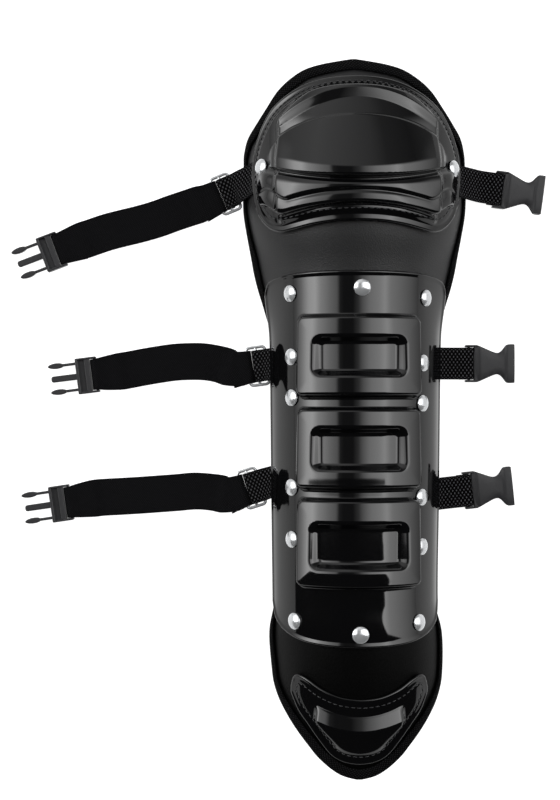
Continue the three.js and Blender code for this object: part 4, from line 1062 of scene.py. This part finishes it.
TABS = [
    # name, side, place, turn where it starts, turn where it leaves the form, mm from there to its first
    # free line, heading in degrees, mm from the form to the bar, and what it holds
    ("left_upper", -1, 0.158, 48, 66, 9.5, -23, 21.3, "slider"),
    ("left_middle", -1, 0.417, 52, 77, 5.5, -8, 13.5, "slider"),
    ("left_lower", -1, 0.584, 52, 77, 5.5, -18, 20, "slider"),
    ("right_upper", 1, 0.16, 48, 66, 9.5, -7.5, 31, "buckle"),
    ("right_middle", 1, 0.417, 52, 77, 5.5, 0, 27, "buckle"),
    ("right_lower", 1, 0.604, 52, 77, 5.5, 6, 27, "buckle"),
]


def loop_round(radius, height, tail, slack=0.0):
    """Side view of a loop round a bar, from over it to the tail under it. Slack makes it stand off."""
    angle = np.radians([90, 45, 0, -45, -90])
    loop = np.stack([np.cos(angle) * (radius + slack), height + np.sin(angle) * radius], axis=-1)
    return np.vstack([loop, [(-tail, height - radius)]])


def smooth_path(points, count):
    """Smooth lines through rows of 3-D points, in even steps of the middle line's length."""
    flat = points.reshape(len(points), -1)
    place = lengths_along(points[:, points.shape[1] // 2])
    steps = np.linspace(0, place[-1], count)
    path = np.stack([smooth_table(place, column)(steps) for column in flat.T], axis=-1)
    return path.reshape(count, *points.shape[1:]), steps


def down_and_right(grid):
    """A grid along and across a band, turned so that a closed sheet's high side faces out."""
    return grid.transpose(1, 0, 2)[::-1]


def band_piece(name, controls, thickness, material, count):
    """A band: controls are (stations, lines across, 3). The lines are smoothed along the band, the band's
    normal is the cross product of its two directions, and both faces stand off by half the thickness."""
    middle, steps = smooth_path(controls, count)
    along = np.gradient(middle, axis=0)
    across = np.gradient(middle, axis=1)
    normal = np.cross(along, across)
    normal /= np.linalg.norm(normal, axis=-1, keepdims=True)
    width = np.linalg.norm(middle[:, -1] - middle[:, 0], axis=-1).mean()
    line = np.linspace(-width / 2, width / 2, controls.shape[1])
    half = thickness / 2
    inside = np.minimum((width / 2 - np.abs(line)) / half, 1)
    swell = half * np.sqrt(np.clip(1 - (1 - inside) ** 2, 0.02, 1))[None, :, None]
    high, low = middle + normal * swell, middle - normal * swell
    points, faces = closed_sheet(down_and_right(high), down_and_right(low))
    uv = np.stack(np.broadcast_arrays(steps[:, None], line[None, :]), axis=-1)
    uv = np.concatenate([down_and_right(uv).reshape(-1, 2)] * 2)
    return make_piece(name, points, faces, material, uv)


# Shares across a band, closer together near its two edges, which are rounded
ACROSS = np.concatenate([[0, 0.006, 0.02, 0.045], np.linspace(0.09, 0.91, 9), [0.955, 0.98, 0.994, 1]])


def bar_frame(tab):
    """Where a tab's bar is: its middle on the table and the direction out, in plan."""
    _, side, at, _, leave, _, heading, reach, _ = tab
    angle = np.radians(heading)
    out = np.array([side * np.cos(angle), np.sin(angle), 0])
    origin = on_form(at, side * leave, (TAB_LOW + TAB_HIGH) / 2) * np.array([1, 1, 0])
    return origin + out * reach, out


def tab_controls(tab):
    """Control points of a tab: four stations on the form, two in the air, then the loop round the bar."""
    _, side, at, start, leave, off, heading, reach, holds = tab
    origin, out = bar_frame(tab)
    middle = (TAB_LOW + TAB_HIGH) / 2
    if holds == "slider":
        radius, height, tail, slack = SLIDER_LOOP, SLIDER_HEIGHT, SLIDER_TAIL, SLIDER_SLACK
    else:
        radius, height, tail, slack = BUCKLE_LOOP, BUCKLE_HEIGHT, SOCKET_TAIL, SOCKET_SLACK
    angle = np.radians(heading)
    leaves = on_form(at, side * leave, middle)
    crossing = (ACROSS - 0.5) * WEBBING_WIDTH * side
    rows = []
    for share in (0, 0.34, 0.67, 1):
        turn = side * (start + (leave - start) * share)
        lean = abs(leaves[0] - on_form(at, turn, middle)[0]) * np.tan(angle)
        rows.append(on_form(at - (crossing - lean) / GUARD_LENGTH, turn, middle))
    free = [
        (off - reach, leaves[2] * 0.55 + height * 0.3, 0.25),
        ((off - reach) * 0.62, height + radius + 0.8, 0.7),
    ]
    free += [(x, z, 1.0) for x, z in loop_round(radius, height, tail, slack)]
    for distance, up, twist in free:
        swing = np.array([-np.sin(angle * twist) * side, np.cos(angle * twist), 0])
        row = origin + out * distance + crossing[:, None] * swing
        row[:, 2] = up
        rows.append(row)
    return np.stack(rows)


for tab in TABS:
    piece = band_piece("webbing_" + tab[0], tab_controls(tab), WEBBING_THICKNESS, webbing_weave, 90)
    stand_for(piece, "webbing", "webbing_tab_" + tab[0])
print("webbing tabs:", len(TABS))

# %% [markdown]
# ## Elastic straps
# Each strap loops round its slider's outer bar with a tail beneath, runs along the table in a gentle
# bow, and is folded round the pronged buckle's bar and sewn. It is made as the webbing is, from two plain
# drawings that a maker would know: the bow is a line in plan, and the side view gives the folds.

# %% Elastic straps
STRAPS = [
    # name, reach, then rows of distance out and offset toward the knee, as shares of the reach
    ("upper", 120.2, [
        (0, 0), (0.2165, -0.074), (0.414, -0.144), (0.723, -0.225), (0.908, -0.293), (1, -0.328),
    ]),
    ("middle", 116.7, [
        (0, 0), (0.2365, 0.032), (0.45, 0.037), (0.644, 0.0105), (0.838, -0.025), (1, -0.0455),
    ]),
    ("lower", 132.4, [
        (0, 0), (0.2325, -0.001), (0.417, -0.013), (0.646, -0.029), (0.846, -0.041), (1, -0.0635),
    ]),
]
# Lengths of the loose tail, of the sewn end and of the straight lead out of the slider
STRAP_TAIL, STRAP_SEWN, STRAP_LEAD = 13.0, 17.0, 9.0
# The strap's width in the slider and in the buckle, as shares of its own width
SLIDER_NARROW, BUCKLE_NARROW = 0.88, 0.83
# Half the stretch over which the strap's direction is taken
WAY_STEP = 0.5


def centripetal(points, per_piece=60):
    """A centripetal Catmull-Rom line: knots spaced by the square root of the chord."""
    p = np.vstack([2 * points[0] - points[1], points, 2 * points[-1] - points[-2]])
    knots = np.sqrt(np.linalg.norm(np.diff(p, axis=0), axis=1))
    t = np.linspace(0, 1, per_piece, endpoint=False)[:, None]
    line = []
    for i in range(len(points) - 1):
        a, b, c = knots[i : i + 3]
        p0, p1, p2, p3 = p[i : i + 4]
        start = ((p1 - p0) / a - (p2 - p0) / (a + b) + (p2 - p1) / b) * b
        end = ((p2 - p1) / b - (p3 - p1) / (b + c) + (p3 - p2) / c) * b
        square, cube = 3 * (p2 - p1) - 2 * start - end, start + end - 2 * (p2 - p1)
        line.append(p1 + start * t + square * t**2 + cube * t**3)
    return np.vstack([*line, points[-1:]])


def strap_line(strap, tab):
    """The strap's line in plan, as evenly spaced places and directions by length."""
    _, reach, bows = strap
    origin, out = bar_frame(tab)
    start = (origin + out * (SLIDER_LENGTH - WIRE_DIAMETER) / 2)[:2]
    points = [start + np.array([-distance, rise]) * reach for distance, rise in bows]
    points.insert(1, start + out[:2] * STRAP_LEAD)
    line = centripetal(np.array(points))
    run = lengths_along(line)

    def at_length(distance):
        """The place and the way ahead at distances along the line, straight on past both ends."""
        inside = np.clip(distance, 0, run[-1])
        ahead = on_line(line, run, np.minimum(inside + WAY_STEP, run[-1]))
        back = on_line(line, run, np.maximum(inside - WAY_STEP, 0))
        way = (ahead - back) / np.linalg.norm(ahead - back, axis=-1, keepdims=True)
        return on_line(line, run, inside) + way * (distance - inside)[..., None], way

    return at_length, run[-1]


def strap_side_view(length):
    """Distance along and height of the strap: tail, loop, run along the table, fold and sewn end."""
    low = ELASTIC_THICKNESS / 2
    lifted = low + ELASTIC_THICKNESS + GAP
    inner = (loop_round(STRAP_LOOP, SLIDER_HEIGHT, STRAP_TAIL, SLIDER_SLACK) * [-1, 1])[::-1]
    outer = loop_round(MALE_LOOP, BUCKLE_HEIGHT, STRAP_SEWN) + [length, 0]
    resting = np.linspace(STRAP_TAIL + 9, length - STRAP_SEWN - 8, 7)
    return np.vstack([
        inner,
        [(STRAP_TAIL * 0.55, lifted + 0.9), (STRAP_TAIL + 1.5, lifted)],
        np.stack([resting, np.full(7, low)], axis=-1),
        [(length - STRAP_SEWN - 1.5, lifted), (length - STRAP_SEWN * 0.45, lifted + 1.2)],
        outer,
    ])


def strap_controls(strap, tab):
    """Control points of a strap: its side view swept along its plan line, narrowed where it is looped."""
    at_length, length = strap_line(strap, tab)
    view = strap_side_view(length)
    distance, up = view[:, 0], view[:, 1]
    place, way = at_length(distance)
    # The tail and the lower part of its loop keep the direction that the strap has at the bar.
    tail = np.arange(len(view)) < 3
    start, first_way = at_length(np.array([0.0]))
    place = np.where(tail[:, None], start + first_way * distance[:, None], place)
    way = np.where(tail[:, None], first_way, way)
    near = smooth_step(np.minimum(distance, length - distance), 2, STRAP_TAIL)
    narrow = np.where(distance < length / 2, SLIDER_NARROW, BUCKLE_NARROW)
    width = ELASTIC_WIDTH * (narrow + (1 - narrow) * near)
    side = np.stack([-way[:, 1], way[:, 0]], axis=-1)
    plan = place[:, None] + side[:, None] * ((ACROSS - 0.5)[None, :, None] * width[:, None, None])
    high = np.broadcast_to(up[:, None, None], (*plan.shape[:2], 1))
    return np.concatenate([plan, high], axis=-1), at_length, length


strap_ends = {}
for strap, tab in zip(STRAPS, TABS[:3]):
    controls, at_length, length = strap_controls(strap, tab)
    piece = band_piece("elastic_" + strap[0], controls, ELASTIC_THICKNESS, elastic_weave, 260)
    stand_for(piece, "elastic", "elastic_strap_" + strap[0])
    end, way = at_length(np.array([length]))
    strap_ends[strap[0]] = (end[0], way[0])
    print("strap", strap[0], "length in mm:", round(length, 1))

# %% [markdown]
# ## Wire sliders
# Round plated wire bent to a rounded frame with a bar across. A curve with a round bevel could make the
# wire. A circle carried round a rounded rectangle gives the same with joined ends, and a straight rod
# makes the bar. It has the rivets' finish, so it glints where it shows beside the strap.

# %% Wire sliders
def rounded_frame(half_x, half_y, corner, count):
    """A rounded rectangle as an evenly cut closed line."""
    quarter = np.linspace(0, np.pi / 2, 9)
    corners = []
    for turn, (sx, sy) in enumerate([(1, 1), (-1, 1), (-1, -1), (1, -1)]):
        angle = quarter + turn * np.pi / 2
        centre = np.array([sx * (half_x - corner), sy * (half_y - corner)])
        corners.append(centre + corner * np.stack([np.cos(angle), np.sin(angle)], axis=-1))
    return resample(np.vstack(corners), count)[0]


def wire_ring(line, radius, sides=12):
    """A round wire along a closed flat line: circles that stand across the line."""
    level = np.zeros((len(line), 1))
    normal = np.concatenate([-inward_of(line)[1], level], axis=-1)
    angle = full_circle(sides)
    centre = np.concatenate([line, level], axis=-1)
    ring = centre[:, None] + radius * (np.cos(angle)[None, :, None] * normal[:, None])
    ring = ring + radius * np.sin(angle)[None, :, None] * np.array([0, 0, 1])
    return ring.reshape(-1, 3), tube_faces(len(line), sides)[:, ::-1]


def rod(start, end, radius, sides=12):
    """A straight rod with domed ends: circles along its axis that shrink to nothing at both ends."""
    start, end = np.array(start, float), np.array(end, float)
    axis = (end - start) / np.linalg.norm(end - start)
    side = np.cross(axis, [0, 0, 1.0])
    side /= np.linalg.norm(side)
    up = np.cross(axis, side)
    length = np.linalg.norm(end - start)
    dome = np.linspace(0, np.pi / 2, 5)
    out = np.concatenate([np.sin(dome), np.sin(dome)[::-1]]) * radius
    along = np.concatenate([radius * (1 - np.cos(dome)), length - radius * (1 - np.cos(dome))[::-1]])
    angle = full_circle(sides)
    circle = np.cos(angle)[:, None] * side + np.sin(angle)[:, None] * up
    rings = start + along[:, None, None] * axis + out[:, None, None] * circle
    return rings.reshape(-1, 3), tube_faces(len(out), sides, closed=False)[:, ::-1]


def joined(parts):
    """Several point and face arrays as one."""
    points, faces, first = [], [], 0
    for part_points, part_faces in parts:
        points.append(part_points)
        faces += [[int(v) + first for v in face] for face in part_faces]
        first += len(part_points)
    return np.concatenate(points), faces


def placed(points, origin, way, height):
    """Local points turned so that local +X runs along way, and moved to origin at a height."""
    x = points[:, 0] * way[0] - points[:, 1] * way[1]
    y = points[:, 0] * way[1] + points[:, 1] * way[0]
    return np.stack([x + origin[0], y + origin[1], points[:, 2] + height], axis=-1)


slider_half = np.array([SLIDER_LENGTH - WIRE_DIAMETER, SLIDER_WIDTH - WIRE_DIAMETER]) / 2
SLIDER_CORNER = 2.6
slider_frame = wire_ring(rounded_frame(*slider_half, SLIDER_CORNER, 96), WIRE_DIAMETER / 2)
slider_bar = rod((0, -slider_half[1], 0), (0, slider_half[1], 0), WIRE_DIAMETER / 2)
slider_points, slider_faces = joined([slider_frame, slider_bar])
for strap, tab in zip(STRAPS, TABS[:3]):
    points = placed(slider_points, *bar_frame(tab), SLIDER_HEIGHT)
    slider = make_piece("slider_" + strap[0], points, slider_faces, plated_steel)
    stand_for(slider, "slider_chrome", "wire_slider_" + strap[0])
print("wire sliders:", len(STRAPS))

# %% [markdown]
# ## Side release buckles
# Moulded acetal, dark grey with a dull sheen from its fine mould grain. The halves could be cut from
# blocks with booleans and then bevelled, which leaves thin faces that shade badly. Here each wall is a
# plate: an outline with rounded upper and lower edges, whose rings are drawn in by a quarter circle.

# %% Buckle plastic and plates
buckle_plastic, buckle_shader = start_material(
    "dark_acetal", Base_Color=linear("2B2B2D"), Roughness=0.42, IOR=1.48
)
mould_grain = add_node(
    buckle_plastic,
    "ShaderNodeTexNoise",
    {"Scale": 2500.0, "Detail": 1.0},
    {"Vector": object_place(buckle_plastic)},
)
bump_by(buckle_plastic, buckle_shader, mould_grain.outputs["Fac"], 0.25, 0.2 * MM)


def rounded_plate(outline, low, high, radius):
    """A plate from a counter-clockwise outline: rings inset by a quarter circle, closed by two faces."""
    swing = np.linspace(0, np.pi / 2, 4)
    inset = radius * np.concatenate([(1 - np.sin(swing)), (1 - np.sin(swing))[::-1]])
    climb = radius * (1 - np.cos(swing))
    height = np.concatenate([low + climb, high - climb[::-1]])[:, None, None]
    rings = outline[None] + inward_of(outline)[1][None] * inset[:, None, None]
    points = np.concatenate([rings, np.broadcast_to(height, (*rings.shape[:2], 1))], axis=-1)
    sides = len(outline)
    faces = [list(face) for face in tube_faces(len(inset), sides, closed=False)]
    faces.append(list(range(sides))[::-1])
    faces.append(list(range((len(inset) - 1) * sides, len(inset) * sides)))
    return points.reshape(-1, 3), faces


def box_outline(x_from, x_to, y_from, y_to, corner=0.6):
    """A rectangle with rounded corners, counter-clockwise."""
    half_x, half_y = (x_to - x_from) / 2, (y_to - y_from) / 2
    corner = min(corner, half_x * 0.9, half_y * 0.9)
    return rounded_frame(half_x, half_y, corner, 40) + [(x_to + x_from) / 2, (y_to + y_from) / 2]


def mirrored_outline(rows, scale_x, scale_y, count=120):
    """A closed outline from rows of (out, half width) smoothed and mirrored, counter-clockwise."""
    rows = np.array(rows) * [scale_x, scale_y]
    place = lengths_along(rows)
    steps = np.linspace(0, place[-1], 80)
    edge = np.stack([smooth_table(place, column)(steps) for column in rows.T], axis=-1)
    closed = np.vstack([edge * [1, -1], edge[::-1]])
    return resample(closed, count)[0]


# %% Socket halves
FEMALE_WIDTH, FEMALE_LENGTH, BUCKLE_WALL = 29.5, 37.5, 1.7
# Measured out from the bar: where the webbing's slot ends, where the body's plates begin, and the mouth
SLOT_TO = BUCKLE_BAR / 2 + WEBBING_THICKNESS + 2.4
SLOT_SHOWN = BUCKLE_LOOP + WEBBING_THICKNESS / 2 + 0.5
MOUTH_FROM, MOUTH_TO = 0.79, 0.925
SOCKET_EDGE = [
    # distance out and half width of the body, as shares of the socket's length and width
    (SLOT_SHOWN / FEMALE_LENGTH, 0.482), (0.17, 0.476), (0.2, 0.465), (0.36, 0.375), (0.52, 0.29),
    (0.6, 0.28), (0.67, 0.33), (0.76, 0.47), (0.8, 0.5), (MOUTH_TO, 0.5),
]


def crowned_plate(rows, outer, inner, side):
    """Half of the socket's body: a grid across the outline, crowned, with a rounded front end. Its inner
    face is flat. side is 1 for the upper half and -1 for the lower one."""
    rows = np.array(rows) * [FEMALE_LENGTH, FEMALE_WIDTH]
    run = lengths_along(rows)
    steps = np.linspace(0, run[-1], 70)
    x, wide = smooth_table(run, rows[:, 0])(steps)[:, None], smooth_table(run, rows[:, 1])(steps)[:, None]
    across = np.sin(np.linspace(-np.pi / 2, np.pi / 2, 31))[None, :]
    drop = 1.0 * np.abs(across) ** 3 + 1.3 * (1 - smooth_step(x, x[0, 0] - 1, x[0, 0] + 5.5))
    lip = 0.5 * smooth_step(x, x[-1, 0] - 8, x[-1, 0] - 5) - 0.5
    y = wide * across
    high = np.stack([x + 0 * y, y, side * (outer - drop + lip)], axis=-1)
    low = np.stack([x + 0 * y, y, side * np.minimum(inner, outer - drop + lip - 0.5)], axis=-1)
    points, faces = closed_sheet(high, low)
    return points, faces if side > 0 else faces[:, ::-1]


def box_plate(x_from, x_to, y_from, y_to, low, high, radius, corner=0.6):
    """A rectangular plate with rounded corners and edges."""
    return rounded_plate(box_outline(x_from, x_to, y_from, y_to, corner), low, high, radius)


def socket_half():
    """Two crowned plates with the socket's outline, a rear wall, the bar, side walls and rails."""
    half, wide = BUCKLE_THICKNESS / 2, FEMALE_WIDTH / 2
    mouth_from, mouth_to = MOUTH_FROM * FEMALE_LENGTH, MOUTH_TO * FEMALE_LENGTH - 0.05
    slot = WEBBING_WIDTH / 2 + GAP
    rear = wide * 0.92
    parts = [
        crowned_plate(SOCKET_EDGE, half, half - BUCKLE_WALL, 1),
        crowned_plate(SOCKET_EDGE, half, half - BUCKLE_WALL, -1),
        box_plate(SLOT_SHOWN + 0.3, SLOT_TO + 2.6, -rear, rear, -half + 1.6, half - 1.6, 0.4),
        rod((0, -slot - 0.4, 0), (0, slot + 0.4, 0), BUCKLE_BAR / 2, 20),
    ]
    for side in (-1, 1):
        wall = sorted((side * (wide - BUCKLE_WALL * 1.4), side * (wide - 0.05)))
        parts.append(box_plate(mouth_from, mouth_to, *wall, -half + 1.4, half - 1.4, 0.5))
        rail = sorted((side * slot, side * wide * 0.965))
        rail_from, rail_to = -0.08 * FEMALE_LENGTH, SLOT_TO + 1.5
        parts.append(box_plate(rail_from, rail_to, *rail, -half + 0.9, half - 0.9, 0.7, 0.8))
    return joined(parts)


socket_points, socket_faces = socket_half()
for tab in TABS[3:]:
    name = tab[0].replace("right_", "")
    points = placed(socket_points, *bar_frame(tab), BUCKLE_HEIGHT)
    socket = make_piece("socket_" + name, points, socket_faces, buckle_plastic)
    stand_for(socket, "buckle_plastic", "female_buckle_" + name)
print("a socket half has", len(socket_faces), "faces")

# %% Pronged halves
MALE_WIDTH, MALE_LENGTH, FRAME_SHARE, ARM_OUT = 27.5, 37.0, 0.4, 0.364
# Half widths of middle prong and arms in mm, and how far out they reach as shares of the length
PRONG_HALF, PRONG_TO, ARM_HALF, ARM_TO = 2.4, 0.93, 1.05, 0.7
LEAF = [
    # distance out and half width, as shares of the half's length and width
    (0.63, 0.0), (0.65, 0.035), (0.72, 0.07), (0.82, 0.078), (0.91, 0.058), (0.96, 0.025), (0.97, 0.0),
]


def pronged_half():
    """A frame of rails and bars, a thick middle prong, and two thin arms with leaf-shaped ends."""
    half, wide = BUCKLE_THICKNESS / 2 - 0.6, MALE_WIDTH / 2
    frame_end = FRAME_SHARE * MALE_LENGTH
    slot = ELASTIC_WIDTH * BUCKLE_NARROW / 2 + GAP
    slot_to = BUCKLE_BAR / 2 + ELASTIC_THICKNESS + 1.6
    arm = ARM_OUT * MALE_WIDTH
    web = slot + 0.5
    parts = [
        rod((0, -slot - 0.4, 0), (0, slot + 0.4, 0), BUCKLE_BAR / 2, 20),
        box_plate(slot_to - 1.1, slot_to + BUCKLE_BAR, -web, web, -half + 0.5, half - 0.3, 0.6),
        box_plate(slot_to + 1, frame_end - 1.5, -web, web, -half + 0.5, 0.4, 0.3),
        box_plate(frame_end - 2.4, frame_end, -wide, wide, -half, half, 0.7, 1.0),
        box_plate(
            frame_end - 1, MALE_LENGTH * PRONG_TO, -PRONG_HALF, PRONG_HALF, -1.7, 1.7, 0.7, 1.6
        ),
    ]
    for side in (-1, 1):
        rail = sorted((side * slot, side * wide))
        parts.append(box_plate(-BUCKLE_BAR / 2, frame_end, *rail, -half, half, 0.7, 0.8))
        arm_edges = side * arm - ARM_HALF, side * arm + ARM_HALF
        parts.append(box_plate(frame_end - 1, MALE_LENGTH * ARM_TO, *arm_edges, -1.5, 1.5, 0.5))
        leaf = mirrored_outline(LEAF, MALE_LENGTH, MALE_WIDTH, 60) + [0, side * arm]
        parts.append(rounded_plate(leaf, -2.4, 2.4, 0.8))
    return joined(parts)


prong_points, prong_faces = pronged_half()
for name, (end, way) in strap_ends.items():
    points = placed(prong_points, end, way, BUCKLE_HEIGHT)
    buckle = make_piece("prongs_" + name, points, prong_faces, buckle_plastic)
    stand_for(buckle, "buckle_plastic", "male_buckle_" + name)
print("a pronged half has", len(prong_faces), "faces")

# %% [markdown]
# ## Foam pad
# The pad is soft foam inside a knitted lining. It could be drawn like the shells, but foam swells between
# its edges, which a cloth with air in it does by itself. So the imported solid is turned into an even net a
# little under its own face and blown up as cloth with no weight. The swelling is capped, and the pad is
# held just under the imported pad's face, clear of the panel and the tape.

# %% Helpers for soft pieces
# The net's spacing, its depth at the start, the cap on its swelling, and the depth that it is held at
PAD_NET, PAD_START, PAD_SWELL, PAD_CLEAR = 4.2 * MM, 1.4 * MM, 1.2 * MM, 0.2 * MM
WELD, PRESSURE, FRAMES = 0.01 * MM, 4.0, 20


def shaped_mesh(piece, name):
    """The mesh that a piece's modifiers make, as a mesh of its own."""
    graph = bpy.context.evaluated_depsgraph_get()
    mesh = bpy.data.meshes.new_from_object(piece.evaluated_get(graph), depsgraph=graph)
    mesh.name = name
    return mesh


def use_mesh(piece, mesh):
    """Gives the piece the mesh and takes its modifiers off."""
    piece.modifiers.clear()
    piece.data = mesh


def hold_inside(piece, form, depth):
    """Each point nearer to the form's face than depth, or outside it, is moved to that depth under it."""
    hold = piece.modifiers.new("held", "SHRINKWRAP")
    hold.target = form
    hold.wrap_method = "NEAREST_SURFACEPOINT"
    hold.wrap_mode = "INSIDE"
    hold.offset = depth


def mesh_points(mesh):
    """The mesh's points as an array."""
    points = np.empty(len(mesh.vertices) * 3)
    mesh.vertices.foreach_get("co", points)
    return points.reshape(-1, 3)


# %% Net of the pad
pad_form = bpy.data.objects.new("pad_form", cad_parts["backing_pad"].data.copy())
foam_pad = bpy.data.objects.new("foam_pad", pad_form.data.copy())
welded = bmesh.new()
welded.from_mesh(pad_form.data)
bmesh.ops.remove_doubles(welded, verts=welded.verts, dist=WELD)
for mesh in (pad_form.data, foam_pad.data):
    welded.to_mesh(mesh)
welded.free()
for piece in (pad_form, foam_pad):
    bpy.context.scene.collection.objects.link(piece)
net = foam_pad.modifiers.new("net", "REMESH")
net.mode = "VOXEL"
net.voxel_size = PAD_NET
hold_inside(foam_pad, pad_form, PAD_START)
use_mesh(foam_pad, shaped_mesh(foam_pad, "foam_pad_net"))
print("pad net has", len(foam_pad.data.vertices), "points")

# %% Pad blown up as cloth
start = mesh_points(foam_pad.data)
cloth = foam_pad.modifiers.new("foam", "CLOTH")
cloth.settings.use_pressure = True
cloth.settings.uniform_pressure_force = PRESSURE
cloth.settings.effector_weights.gravity = 0.0
cloth.point_cache.frame_start, cloth.point_cache.frame_end = 1, FRAMES
for frame_number in range(1, FRAMES + 1):
    bpy.context.scene.frame_set(frame_number)
use_mesh(foam_pad, shaped_mesh(foam_pad, "foam_pad_swollen"))
bpy.context.scene.frame_set(1)
move = mesh_points(foam_pad.data) - start
far = np.linalg.norm(move, axis=1, keepdims=True)
capped = start + move * np.minimum(1, PAD_SWELL / np.maximum(far, 1e-9))
foam_pad.data.vertices.foreach_set("co", capped.ravel())
print("pad swells by up to", round(float(far.max()) / MM, 2), "mm, capped at", PAD_SWELL / MM)

# %% Pad held under its face
hold_inside(foam_pad, pad_form, PAD_CLEAR)
use_mesh(foam_pad, shaped_mesh(foam_pad, "foam_pad"))
bpy.data.objects.remove(pad_form)
foam_pad.data.materials.clear()
foam_pad.data.materials.append(lining_mesh)
foam_pad.data.shade_smooth()
finer = foam_pad.modifiers.new("finer", "SUBSURF")
finer.levels = finer.render_levels = 1
stand_for(foam_pad, "pad_lining", "backing_pad")
